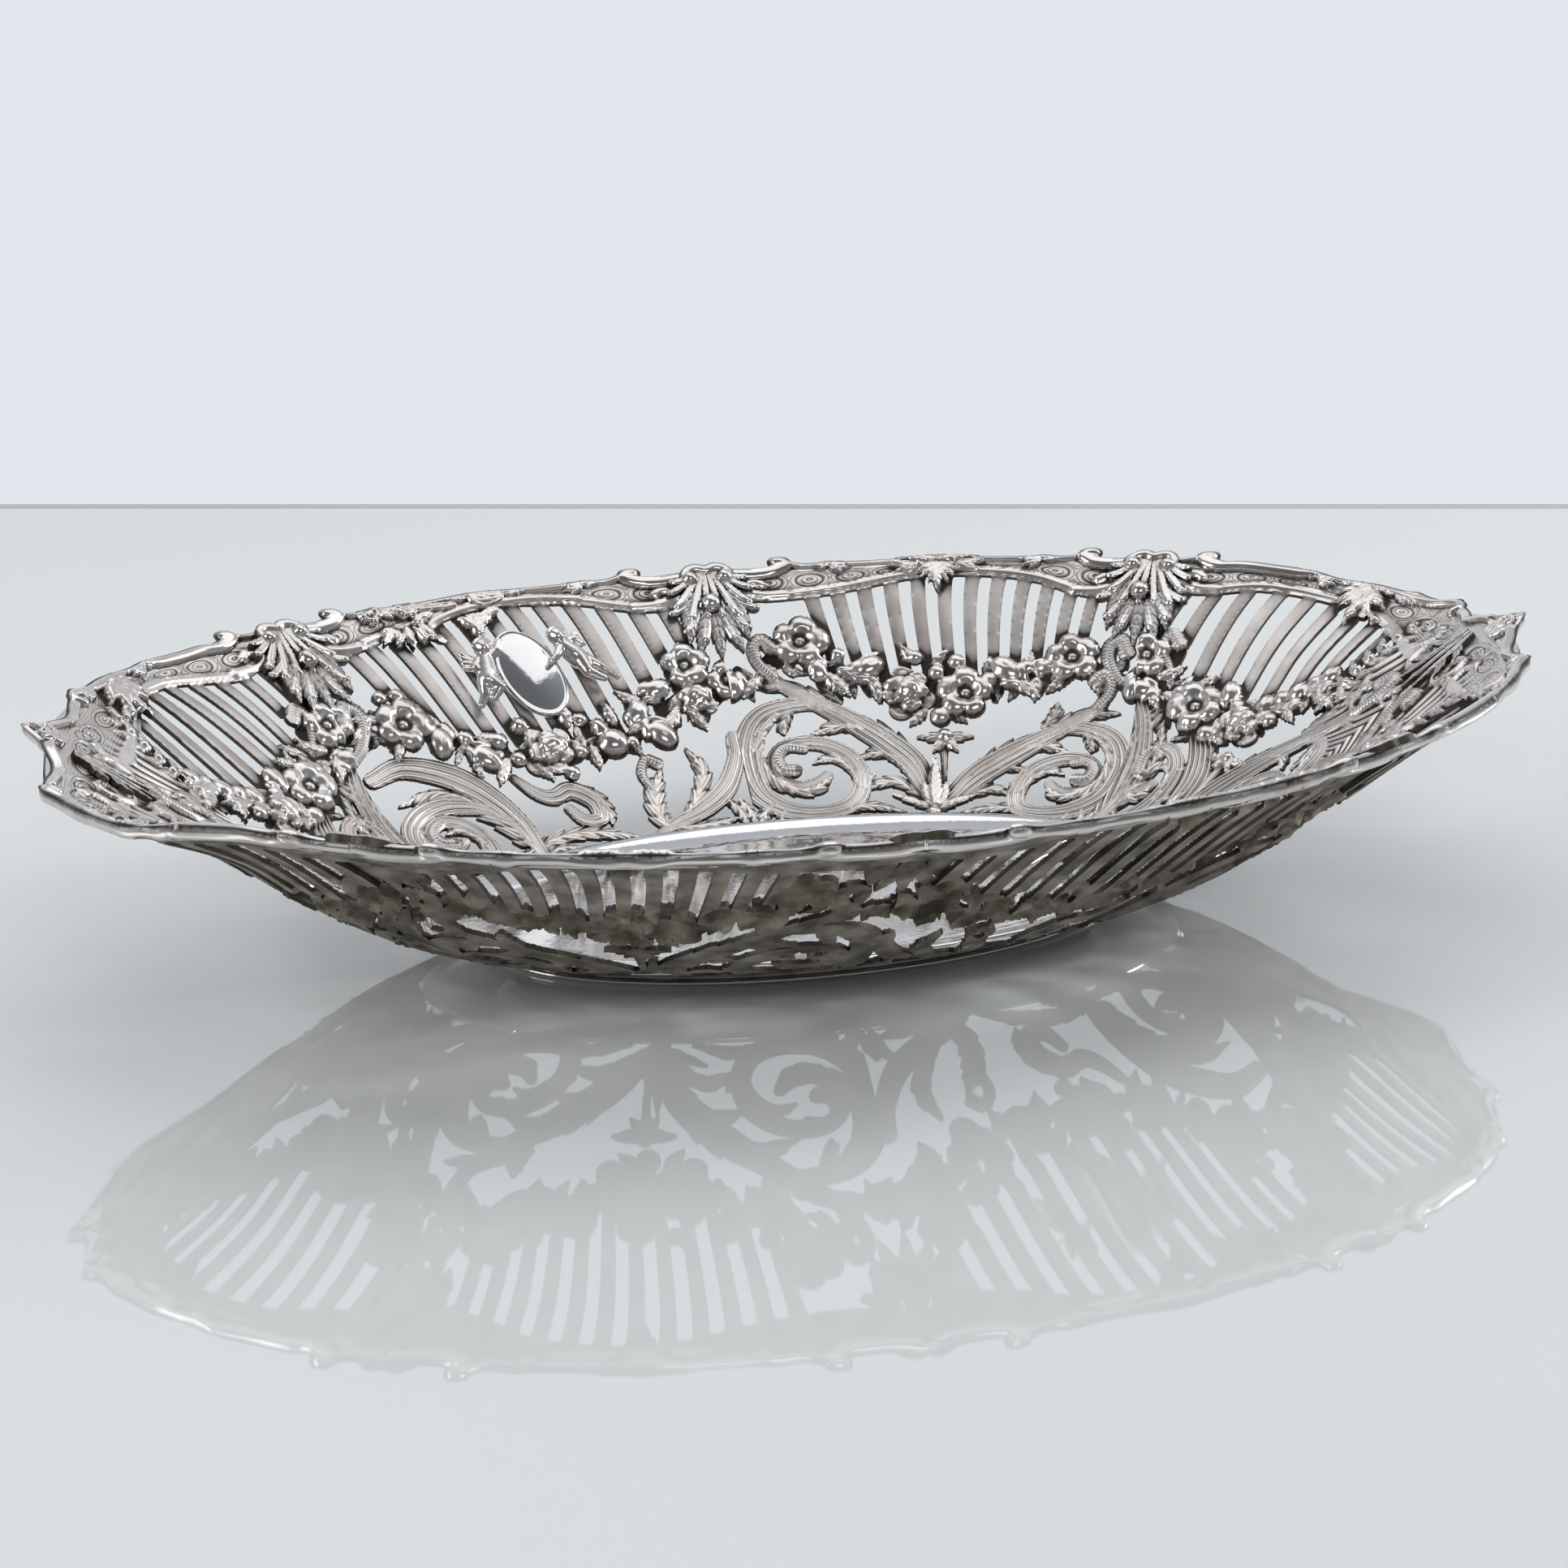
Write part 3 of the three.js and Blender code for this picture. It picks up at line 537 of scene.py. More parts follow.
def gallery_far(r):
    """The scrollwork of the medallion's bay, which rolls toward the corner and toward the side's middle."""
    acanthus(r, [(0.30, 0.10), (0.34, 0.24), (0.50, 0.345), (0.66, 0.375), (0.86, 0.36)], 2.6, 7, 0.25, 0.8,
             (0.4, 1.15), sweep=0.8)
    path = [(0.28, 0.19), (0.36, 0.265), (0.48, 0.30), (0.62, 0.315), (0.78, 0.30), (0.90, 0.255),
            (0.945, 0.19), (0.90, 0.11), (0.78, 0.055), (0.62, 0.065), (0.54, 0.125), (0.525, 0.19),
            (0.585, 0.245), (0.69, 0.265), (0.79, 0.24), (0.80, 0.185), (0.73, 0.155), (0.65, 0.17)]
    stem(r, path, [2.0, 3.6, 4.6, 5.4, 5.6, 5.2, 4.6, 4.2, 4.0, 3.6, 3.4, 3.0, 2.4], 0.3, 0.8, 4, tone=0.06)
    acanthus(r, [(0.56, 0.10), (0.56, 0.17), (0.62, 0.215), (0.72, 0.215)], 1.8, 4, 0.3, 0.8, (1.1, 0.4))
    acanthus(r, [(0.86, 0.25), (0.90, 0.19), (0.86, 0.13), (0.78, 0.10)], 1.9, 4, 0.35, 0.8, (0.4, 1.1))
    curl(r, [(0.70, 0.255), (0.78, 0.235), (0.79, 0.19), (0.73, 0.175)], 2.4, 0.5, 1.2)
    acanthus(r, [(0.36, 0.05), (0.48, 0.035), (0.62, 0.03), (0.80, 0.02)], 1.6, 5, 0.25, 0.6)
    stem(r, [(0.34, 0.0), (0.27, 0.10), (0.25, 0.19), (0.30, 0.29), (0.41, 0.38), (0.56, 0.44),
             (0.74, 0.475), (0.93, 0.46)], [2.6, 4.0, 5.0, 6.0, 6.4, 6.0, 5.0, 3.8], 0.45, 0.95, 4, tone=0.08)
    acanthus(r, [(0.34, 0.02), (0.18, 0.08), (0.0, 0.09), (-0.16, 0.065), (-0.34, 0.0)], 2.1, 7, 0.25, 0.6,
             (0.8, 1), sweep=0.9)
    acanthus(r, [(0.31, 0.01), (0.17, 0.035), (0.04, 0.01)], 1.4, 4, 0.2, 0.5, sweep=0.9)
    stem(r, [(0.14, 0.36), (0.06, 0.29), (-0.02, 0.265), (-0.12, 0.28), (-0.21, 0.22), (-0.19, 0.145),
             (-0.10, 0.15), (-0.06, 0.21)], [1.8, 2.8, 4.0, 4.6, 4.6, 4.0, 3.2, 2.2], 0.35, 0.9, 3, tone=0.1)
    acanthus(r, [(-0.14, 0.29), (-0.23, 0.24), (-0.25, 0.16), (-0.22, 0.10)], 1.7, 5, 0.35, 0.8, (0.6, 1.1))
    # toward the side middle
    stem(r, [(-0.42, 0.0), (-0.56, 0.06), (-0.72, 0.11), (-0.88, 0.20), (-0.97, 0.32), (-0.98, 0.40)],
         [2.4, 3.8, 4.8, 4.8, 4.2, 3.4], 0.35, 0.9, 4, tone=0.1)
    acanthus(r, [(-0.50, 0.03), (-0.50, 0.13), (-0.53, 0.22), (-0.60, 0.31)], 2.4, 5, 0.35, 0.9)
    curl(r, [(-0.53, 0.22), (-0.50, 0.30), (-0.54, 0.35), (-0.59, 0.33)], 2.2, 0.5, 1.2)
    acanthus(r, [(-0.62, 0.08), (-0.74, 0.19), (-0.79, 0.29), (-0.74, 0.38)], 2.3, 5, 0.3, 0.8, (1, 0.7))
    acanthus(r, [(-0.55, 0.03), (-0.72, 0.03), (-0.90, 0.05)], 1.6, 5, 0.25, 0.6, sweep=0.9)
    for foot in (-0.93, -0.98):
        acanthus(r, [(foot + 0.04, 0.14), (foot, 0.07), (foot, 0.0)], 1.2, 3, 0.25, 0.6)


def upright(r):
    """The upright acanthus beside the corner, at the end bay's side."""
    stem(r, [(-0.80, 0.0), (-0.84, 0.14), (-0.86, 0.29), (-0.92, 0.42), (-0.985, 0.52)],
         [2.2, 3.0, 4.4, 4.2, 3.4], 0.45, 0.95, 4, tone=0.15)
    acanthus(r, [(-0.82, 0.08), (-0.74, 0.22), (-0.72, 0.34), (-0.77, 0.44)], 2.3, 5, 0.35, 0.8, (1, 0.8),
             tone=0.1)
    acanthus(r, [(-0.85, 0.16), (-0.93, 0.27), (-0.98, 0.37)], 1.9, 4, 0.35, 0.8, tone=0.1)


def palmette(r, end):
    """A small upright group of leaves at the bottom middle of the bay, with a bell of leaves above it."""
    k = 0.8 if end else 1.0
    for side in (-1, 1):
        leaf(r, 0.0, 0.035, 9.0 * k, 1.5 * k, UP + side * 0.42, 0.6, side * -0.3, 1, tone=0.05)
        leaf(r, 0.0, 0.03, 10.5 * k, 1.3 * k, UP + side * 0.98, 0.45, side * 0.35, 3)
    leaf(r, 0.0, 0.03, 16.0 * k, 1.7 * k, UP, 0.9, 0, 1, 1.2)
    ball(r, 0.0, 0.015, 1.6 * k, 0.5, cap=False)
    stem(r, [(0.0, 0.18), (-0.012, 0.26), (-0.02, 0.36)], [1.2, 1.6, 2.4], 0.5, 0.7, 2)
    for side in (-1, 1):
        leaf(r, -0.01, 0.35, 6.4 * k, 1.5 * k, UP + side * 1.35, 0.8, side * 0.5, 2, tone=0.15)
        leaf(r, -0.01, 0.36, 5.4 * k, 1.4 * k, -UP + side * 0.45, 0.9, side * 0.3, 1, tone=0.1)
    ball(r, -0.015, 0.36, 1.7 * k, 1.0, cap=False)


FILL_LEAVES = 64


def garland(r, bay, items):
    """Flowers, roses, buds, fruit and leaves where items say, with small leaves between them."""
    s, v = r.S.ravel(), r.V.ravel()
    low = through(s, bay["vine"])
    wave = 0.016 * np.sin(s * 31) + 0.012 * np.sin(s * 53 + 1)
    m = np.minimum(v - low + 0.026 + wave, low + 0.014 + wave - v) * PER_V
    idx = np.nonzero(m > -1)[0]
    # the low ground that joins the garland's pieces is toned nearly black: tarnish, and painted shade between
    # them
    r.press(idx, m[idx], np.full(len(idx), 0.12), tone=0.9)
    for _ in range(FILL_LEAVES):
        at = rng.uniform(-0.98, 0.98)
        high = float(through(at, bay["vine"])) + rng.uniform(-0.035, 0.02)
        leaf(r, at, high, rng.uniform(4.0, 6.5), rng.uniform(0.9, 1.4), rng.uniform(0, 2 * math.pi),
             rng.uniform(0.3, 0.8), rng.uniform(-0.6, 0.6), 3, 1.0, 0.3)
    for fs, fv, size, turn in items["leaf"]:
        leaf(r, fs, fv, size * 1.05, size * 0.27, turn, 0.7, 0.5 * math.sin(fs * 40), 4, 1.1, 0.1, 0.5)
    for fs, fv, size, turn in items["flower"]:
        flower(r, fs, fv, size, turn)
    for fs, fv, size, turn in items["rose"]:
        rose(r, fs, fv, size, turn)
    for fs, fv, size, turn in items["bud"]:
        ball(r, fs, fv, size, 0.8, 1.35, turn)
    for fs, fv, size in items["ball"]:
        ball(r, fs, fv, size, 0.9, cap=False)
    for fs, fv, size, turn in items.get("pear", ()):
        pear(r, fs, fv, turn, size)


# What hangs in the garlands: (s, v, size, turn) of each piece by its kind; balls have no turn
SIDE_PLAIN = dict(
    leaf=((-0.86, 0.60, 6.5, -2.2), (-0.55, 0.60, 8.0, -0.9), (-0.50, 0.61, 8.5, -0.35),
          (-0.34, 0.58, 7.0, -1.2), (-0.40, 0.62, 6.0, 0.5), (-0.69, 0.64, 6.0, 1.9),
          (0.29, 0.57, 7.5, -0.5), (0.36, 0.57, 7.5, -1.0), (0.46, 0.57, 6.5, -1.5), (0.20, 0.56, 6.0, 1.2),
          (0.51, 0.61, 6.5, 0.5), (0.84, 0.64, 6.0, 1.2), (-0.09, 0.46, 6.0, -2.4), (0.0, 0.46, 6.0, -0.7),
          (-0.04, 0.60, 5.5, 1.2), (0.74, 0.60, 7.0, -1.0), (0.62, 0.58, 6.5, -2.2), (-0.14, 0.62, 5.5, 1.9)),
    bud=((-0.58, 0.61, 2.3, -2.9), (-0.34, 0.61, 2.7, -1.0), (0.31, 0.59, 3.1, 0.9),
         (0.52, 0.60, 2.1, -1.6), (-0.98, 0.57, 2.6, 2.9), (0.985, 0.54, 2.6, 3.1)),
    ball=((-0.03, 0.585, 2.0), (-0.12, 0.64, 1.7), (0.07, 0.62, 2.0), (-0.03, 0.43, 2.4),
          (-0.25, 0.545, 2.0), (0.22, 0.555, 2.1), (0.42, 0.60, 1.9), (-0.48, 0.66, 1.7)),
    rose=((-0.17, 0.52, 6.2, 0.6),),
    flower=((0.10, 0.51, 6.5, 0.25), (-0.64, 0.71, 6.4, 1.25), (0.65, 0.635, 6.2, 0.6)),
)
SIDE_MEDAL = dict(
    leaf=((-0.80, 0.52, 7.0, -1.9), (-0.74, 0.52, 8.5, -1.2), (-0.59, 0.55, 6.5, 0.4),
          (-0.62, 0.50, 7.0, -0.6), (-0.45, 0.48, 6.5, 1.2), (-0.30, 0.43, 6.5, -1.7),
          (0.10, 0.48, 7.5, 0.5), (0.14, 0.45, 8.0, -0.2), (0.13, 0.43, 7.5, -0.8), (0.30, 0.46, 6.0, -1.4),
          (0.42, 0.55, 6.0, 1.4), (0.50, 0.59, 7.0, 0.7), (0.74, 0.63, 7.0, 0.4), (0.80, 0.63, 7.0, -0.6),
          (-0.94, 0.62, 6.0, 2.4), (-0.22, 0.50, 6.0, 1.6), (0.0, 0.40, 6.0, -2.0), (0.66, 0.57, 6.5, -1.2),
          (0.88, 0.65, 6.0, 1.1)),
    bud=((0.24, 0.44, 2.8, 2.6), (-0.67, 0.59, 2.5, 1.2), (-0.56, 0.52, 2.4, 0.4), (-0.65, 0.43, 3.0, 2.6),
         (0.45, 0.52, 2.9, 3.4)),
    ball=((0.15, 0.49, 2.1), (0.02, 0.53, 2.0), (0.52, 0.63, 1.8), (0.60, 0.695, 1.9), (0.69, 0.70, 1.7),
          (-0.24, 0.41, 1.7), (-0.50, 0.42, 1.6), (0.08, 0.42, 1.9), (-0.28, 0.52, 1.7), (0.31, 0.52, 1.8),
          (-0.16, 0.34, 1.8)),
    rose=((-0.10, 0.43, 6.6, 2.0), (-0.84, 0.545, 5.6, 1.0)),
    flower=((0.62, 0.60, 6.5, 0.9), (-0.82, 0.66, 5.6, 0.3), (-1.0, 0.60, 4.6, 0.0), (1.0, 0.66, 4.6, 0.2)),
    pear=((-0.395, 0.44, 0.95, 2.7),),
)
END_BAY = dict(
    leaf=((-0.88, 0.58, 7.0, 0.4), (-0.82, 0.54, 7.0, -0.5), (-0.90, 0.57, 7.5, -1.4),
          (-0.73, 0.53, 6.0, 1.0), (-0.42, 0.48, 6.5, 1.3), (-0.34, 0.48, 7.0, -1.3),
          (-0.02, 0.51, 7.0, 0.9), (0.05, 0.53, 7.5, 0.3), (0.14, 0.58, 7.5, 0.9), (0.22, 0.60, 7.5, 0.5),
          (0.25, 0.62, 7.5, 1.25), (0.10, 0.55, 6.5, -0.4), (0.30, 0.60, 6.5, 0.0), (-0.62, 0.56, 6.0, 0.6)),
    bud=((-0.99, 0.54, 2.6, 1.7), (-0.345, 0.56, 2.3, 0.3), (-0.02, 0.54, 2.3, 0), (0.16, 0.60, 2.2, -0.3),
         (0.30, 0.67, 2.0, -0.2)),
    ball=((-0.70, 0.54, 2.0), (-0.24, 0.52, 1.9), (0.07, 0.57, 2.0), (0.23, 0.64, 1.7), (-0.38, 0.42, 2.2),
          (-0.60, 0.44, 1.8), (0.09, 0.50, 2.0)),
    rose=((-0.10, 0.47, 6.2, 0.3),),
    flower=((-0.95, 0.655, 5.8, 0.4), (-0.56, 0.50, 6.4, 0.9)),
)


def reeded_sheet(r, bay):
    """Sheet beside the tip with reeds that spread from one point, and the line of leaves that bounds it."""
    s, v = r.S.ravel(), r.V.ravel()
    edge_v, edge_s = np.array(bay["edge"]).T
    bound = np.interp(v, edge_v, edge_s)
    m = np.minimum((s - bound) * 22.0, (v - 0.40 - 0.22 * (1 - s)) * PER_V)
    reeds_from, reed_angle = (0.22, 0.36), 0.075
    idx, x, y = r.near(*reeds_from, 90.0)
    reed = np.arctan2(y, x) / reed_angle
    fade = np.clip((0.90 - v[idx]) * 12, 0, 1)
    h = 0.5 + 0.22 * np.cos(2 * np.pi * reed) * fade
    r.press(idx, m[idx], h, tone=0.12, polish=0.1, line=reed, chase=0.8 * fade)
    for k in range(7):
        up = 0.60 + 0.045 * k
        at = float(np.interp(up, edge_v, edge_s))
        leaf(r, at, up, 5.6, 1.3, UP + 0.9 - 0.1 * k, 0.6, 0.4, 3, 0.9, 0.5)
        leaf(r, at, up, 4.6, 1.1, UP - 0.5, 0.5, -0.3, 3, 0.8, 0.5)
        ball(r, at - 0.015, up + 0.02, 0.9, 1.1, cap=False)


def tip_ovals(r):
    """Three engraved ovals on the band beside the tip."""
    for at, up, size in ((0.60, 0.915, 2.6), (0.74, 0.91, 1.9), (0.50, 0.925, 1.6)):
        idx, x, y = r.near(at, up, size * 1.8, 0.3)
        e = np.hypot(x / 1.25, y) / size
        on = (e < 1.1) & (r.M[idx] > 0)
        at_idx = idx[on]
        relief = 0.24 * groove(e - 0.95, 0.12) + 0.2 * groove(e - 0.35, 0.15) - 0.15 * groove(e - 0.65, 0.12)
        r.H[at_idx] += relief[on]
        r.line[at_idx] = (e * 3.5)[on]
        r.chase[at_idx] = 0.6


def tip_zone(r, bay):
    """Reeded sheet beside the tip, and the ribbon and scrolls that close the band."""
    reeded_sheet(r, bay)
    low = float(through(0.42, bay["band"]))
    ribbon(r, [(0.30, low + 0.03), (0.42, low + 0.012), (0.54, low - 0.005), (0.64, low + 0.012),
               (0.68, low + 0.05), (0.63, low + 0.075)], 2.3, 0.8)
    scroll(r, [(0.90, 0.80), (0.80, 0.775), (0.74, 0.80), (0.74, 0.845), (0.80, 0.865), (0.86, 0.85)], 2.0,
           0.8, 0.6, ends=(0.7, 1.2))
    scroll(r, [(0.93, 0.76), (0.97, 0.79), (0.985, 0.85)], 1.5, 0.6, 0.6)
    tip_ovals(r)


def end_leaf(r):
    """The acanthus leaf that crosses the band near the middle of an end bay."""
    for k, (turn, size) in enumerate(((-1.95, 8.5), (-1.55, 11.5), (-1.2, 9.5), (-2.4, 7.5), (-0.8, 7.5))):
        leaf(r, -0.02, 0.99, size, 2.0, turn, 0.9, 0.15 * (k - 2), 4, 1.2)
    for k in range(3):
        finger(r, 0.0 + 0.05 * k, 0.93 - 0.01 * k, 4.6, 1.1, -1.4 + 0.3 * k, 1.0, 0.1, 1.3)
    ball(r, -0.02, 0.985, 1.7, 1.0, cap=False)


def middle_leaves(r, plain):
    """What crosses the band in the middle of a side bay: a shell with leaf wraps, or a scroll and leaves."""
    if plain:
        for k in range(7):
            leaf(r, 0.0, 0.99, 6.6 - 0.5 * abs(k - 3), 1.05, -UP + (k - 3) * 0.36, 0.9, teeth=1, high=1.2)
        for side in (-1, 1):
            for out, size in ((1.15, 6.0), (1.5, 8.0)):
                leaf(r, side * 0.07, 0.985, size, 1.3, -UP + side * out, 0.8, side * 0.4)
        leaf(r, 0.0, 0.965, 6.6, 1.4, -UP, 1.1, teeth=1, high=1.3)
        return
    ribbon(r, [(-0.42, 0.945), (-0.24, 0.965), (-0.05, 0.968), (0.12, 0.955), (0.26, 0.925), (0.30, 0.885),
               (0.26, 0.862)], 2.4, 0.9)
    for k, (at, size, turn) in enumerate(((0.14, 6.5, -2.4), (0.10, 7.5, -1.9), (0.04, 7.0, -1.4),
                                          (-0.02, 6.5, -0.9), (-0.06, 6.0, -0.4))):
        leaf(r, at, 0.925 + 0.004 * k, size, 1.5, turn, 0.9, 0.2, 3, 1.2)
    for at, turn, size in ((0.34, -2.2, 6.5), (0.40, -1.6, 6.5), (0.46, -0.9, 6.0), (0.36, 2.6, 6.0),
                           (0.52, -2.6, 6.0)):
        leaf(r, at, 0.925, size, 1.5, turn, 0.9, 0.2, 3, 1.2)
    for k in range(3):
        finger(r, 0.36 + 0.04 * k, 0.915, 4.6, 1.1, -1.9 + 0.3 * k, 1.0, 0.1, 1.3)


def wall_bay(name, bay):
    """One bay of the wall: bars, scrollwork at its foot, garland, band, and what crosses the band."""
    across, along = int(236 * FINE), int(222 * FINE)
    r = Relief(bay_place(bay["left"], bay["end"]), (-1, 1), WALL_SPAN, across, along)
    plain = not bay["left"]
    bars(r, bay)
    if bay["end"] or plain:
        gallery(r, 1.0)
        gallery(r, -1.0 if bay["end"] else -0.80)
        palmette(r, bay["end"])
    else:
        gallery_far(r)
    if bay["end"]:
        upright(r)
        tip_zone(r, bay)
    else:
        curl(r, [(0.985, 0.53), (0.90, 0.565), (0.845, 0.62), (0.85, 0.67), (0.91, 0.695), (0.94, 0.66)],
             3.4, 0.8, 1.6, 0.6)
    items = END_BAY if bay["end"] else (SIDE_PLAIN if plain else SIDE_MEDAL)
    garland(r, bay, items)
    band(r, bay)
    if bay["end"]:
        end_leaf(r)
    else:
        middle_leaves(r, plain)
    return sheet_mesh(r, name, thickness=0.9, follow=0.85)


# Mesh of a relief: front, back and edges. For each set of inner corners of a grid square, CASES has the
# polygons and the cuts: 0 to 3 are the corners, and 4 to 7 the crossings on the sides that follow them.
CASES = {
    1: ([[0, 4, 7]], [(4, 7)]), 2: ([[1, 5, 4]], [(5, 4)]), 3: ([[0, 1, 5, 7]], [(5, 7)]),
    4: ([[2, 6, 5]], [(6, 5)]), 5: ([[0, 4, 7], [2, 6, 5]], [(4, 7), (6, 5)]),
    6: ([[1, 2, 6, 4]], [(6, 4)]), 7: ([[0, 1, 2, 6, 7]], [(6, 7)]), 8: ([[3, 7, 6]], [(7, 6)]),
    9: ([[0, 4, 6, 3]], [(4, 6)]), 10: ([[1, 5, 4], [3, 7, 6]], [(5, 4), (7, 6)]),
    11: ([[0, 1, 5, 6, 3]], [(5, 6)]), 12: ([[2, 3, 7, 5]], [(7, 5)]), 13: ([[0, 4, 5, 2, 3]], [(4, 5)]),
    14: ([[1, 2, 3, 7, 4]], [(7, 4)]), 15: ([[0, 1, 2, 3]], []),
}


def blur(field, weight, cells):
    """Weighted Gaussian blur of a grid."""
    n = max(1, int(cells * 2.5))
    kernel = np.exp(-(np.arange(-n, n + 1) ** 2) / (2 * cells * cells))

    def pass_over(a):
        for axis in (0, 1):
            p = np.pad(a, [(n, n) if i == axis else (0, 0) for i in (0, 1)])
            out = np.zeros_like(a)
            for i, w in enumerate(kernel):
                out += w * (p[i : i + a.shape[0]] if axis == 0 else p[:, i : i + a.shape[1]])
            a = out
        return a

    return pass_over(field * weight) / np.maximum(pass_over(weight), 1e-6)


def sheet_layers(r, thickness, follow, back, least):
    """Heights of the front and the back at each grid point, and how deep in a recess the point lies."""
    M = r.M.reshape(r.S.shape)
    solid = (M > 0).astype(float)
    H = blur(r.H.reshape(r.S.shape), solid, 0.62)
    soft = blur(H, solid, 2.2 * FINE)
    wide = blur(H, solid, 6.0 * FINE)
    # the deeper a point lies in a crease or a hollow, the darker the silver is painted: oxide, and painted
    # shade
    crease = np.clip((soft - H) / 0.35, 0, 1)
    hollow = np.clip((wide - H) / 0.9 + 0.15, 0, 1)
    recess = np.clip(0.65 * crease + 0.75 * hollow, 0, 1) * (1 - 0.3 * r.polish.reshape(r.S.shape))
    if back is None:
        B = follow * np.minimum(soft, H) - thickness
        H = H - 0.14 * np.clip(1 - M / 0.35, 0, 1) ** 2
    else:
        B = back.reshape(r.S.shape)
    return H, np.minimum(B, H - least), recess


def contour(M, P, N, fields):
    """Cuts a grid where M crosses 0. Gives the places, normals and fields of its points and of the crossings,
    the polygons inside by their number of corners, and the pairs of points along the cut."""
    rows, cols = M.shape
    nodes = rows * cols
    inside = M > 0
    M, P, N, fields = M.ravel(), P.reshape(-1, 3), N.reshape(-1, 3), fields.reshape(nodes, -1)
    ids = np.arange(nodes).reshape(rows, cols)

    def crossings(a, b):
        f = M[a] / (M[a] - M[b] + 1e-12)
        f = np.where((M[a] > 0) != (M[b] > 0), np.clip(f, 0, 1), 0.5)[:, None]
        inner = np.where((M[a] > 0)[:, None], fields[a], fields[b])
        return P[a] + (P[b] - P[a]) * f, N[a] + (N[b] - N[a]) * f, inner

    ha, hb = ids[:, :-1].ravel(), ids[:, 1:].ravel()
    va, vb = ids[:-1].ravel(), ids[1:].ravel()
    P, N, fields = (np.vstack(group) for group in zip((P, N, fields), crossings(ha, hb), crossings(va, vb)))
    hid = (nodes + np.arange(len(ha))).reshape(rows, cols - 1)
    vid = (nodes + len(ha) + np.arange(len(va))).reshape(rows - 1, cols)
    case = inside[:-1, :-1] * 1 + inside[:-1, 1:] * 2 + inside[1:, 1:] * 4 + inside[1:, :-1] * 8
    corners = [ids[:-1, :-1], ids[:-1, 1:], ids[1:, 1:], ids[1:, :-1]]
    local = corners + [hid[:-1], vid[:, 1:], hid[1:], vid[:, :-1]]
    polygons, pairs = {3: [], 4: [], 5: []}, []
    for number, (shapes, edges) in CASES.items():
        here = case == number
        if not here.any():
            continue
        for shape in shapes:
            polygons[len(shape)].append(np.stack([local[i][here] for i in shape], 1))
        for a, b in edges:
            pairs.append(np.stack([local[a][here], local[b][here]], 1))
    return P, N, fields, polygons, np.vstack(pairs)


def sheet_colours(F, own, thickness, dark_back):
    """Colour layers for front, back and edges. The first holds recess, tone, polish and how far a point is
    behind; the second holds the count and the depth of the engraved lines."""
    none, full = np.zeros(len(F)), np.ones(len(F))
    front = np.stack([F[:, 2], F[:, 3], F[:, 4], none], 1)
    rear = cut = front
    if dark_back:
        # the back's hollows and the cut edges get recess values that darken them: oxide and painted shade
        sunk = np.clip(0.15 + 0.45 * (F[:, 1] + thickness), 0, 1)
        rear = np.stack([sunk, 0.7 * full, none, full], 1)
        cut = np.stack([0.75 * full, 0.3 * full, none, 0.25 * full], 1)
    drawn = np.stack([F[:, 5], F[:, 6], none, full], 1)
    plain = np.zeros_like(drawn)
    return np.vstack([front, rear, cut[own], cut[own]]), np.vstack([drawn, plain, plain[own], plain[own]])


def sheet_mesh(r, name, thickness, follow, back=None, dark_back=True, least=0.35):
    """Front, back and edges of a relief as one skin. follow is the share of the relief that the back has."""
    H, B, recess = sheet_layers(r, thickness, follow, back, least)
    others = [a.reshape(r.S.shape) for a in (r.tone, r.polish, r.line, r.chase)]
    fields = np.stack([H, B, recess] + others, -1)
    P, N, fields = [np.pad(a, ((1, 1), (1, 1), (0, 0)), mode="edge") for a in (r.P, r.N, fields)]
    M = np.pad(r.M.reshape(r.S.shape), 1, constant_values=-0.001)
    M = np.where(np.abs(M) < 1e-6, -1e-6, M)
    P, N, F, polygons, pairs = contour(M, P, N, fields)
    total = len(P)
    flip = r.handed < 0
    faces = []
    for parts in polygons.values():
        if parts:
            f = np.vstack(parts)
            faces += [f[:, ::-1], f + total] if flip else [f, f[:, ::-1] + total]
    own, place = np.unique(pairs, return_inverse=True)
    w = place.reshape(pairs.shape) + 2 * total
    quad = np.stack([w[:, 1], w[:, 0], w[:, 0] + len(own), w[:, 1] + len(own)], 1)
    faces.append(quad[:, ::-1] if flip else quad)
    top, low = P + N * F[:, :1], P + N * F[:, 1:2]
    verts = np.vstack([top, low, top[own], low[own]])
    return mesh_object(name, verts, faces, *sheet_colours(F, own, thickness, dark_back))


def mesh_object(name, verts, faces, patina_and_shade=None, chasing=None):
    """A smooth mesh object from vertices in millimetres and face arrays. Unused vertices are left out."""
    used = np.zeros(len(verts), bool)
    for f in faces:
        used[np.asarray(f).ravel()] = True
    new = np.cumsum(used) - 1
    mesh = bpy.data.meshes.new(name)
    loops = np.concatenate([new[np.asarray(f)].ravel() for f in faces])
    sizes = np.concatenate([np.full(len(f), np.asarray(f).shape[1]) for f in faces])
    starts = np.concatenate([[0], np.cumsum(sizes)[:-1]])
    mesh.vertices.add(int(used.sum()))
    mesh.vertices.foreach_set("co", (verts[used] * MM).ravel())
    mesh.loops.add(len(loops))
    mesh.loops.foreach_set("vertex_index", loops)
    mesh.polygons.add(len(sizes))
    mesh.polygons.foreach_set("loop_start", starts)
    mesh.update(calc_edges=True)
    mesh.validate()
    mesh.shade_smooth()
    for label, values in (("patina_and_shade", patina_and_shade), ("chasing", chasing)):
        layer = mesh.attributes.new(label, "FLOAT_COLOR", "POINT")
        values = np.zeros((len(verts), 4)) if values is None else values
        if used.sum() == len(mesh.vertices):
            layer.data.foreach_set("color", values[used].ravel())
    ob = bpy.data.objects.new(name, mesh)
    bpy.context.scene.collection.objects.link(ob)
    return ob


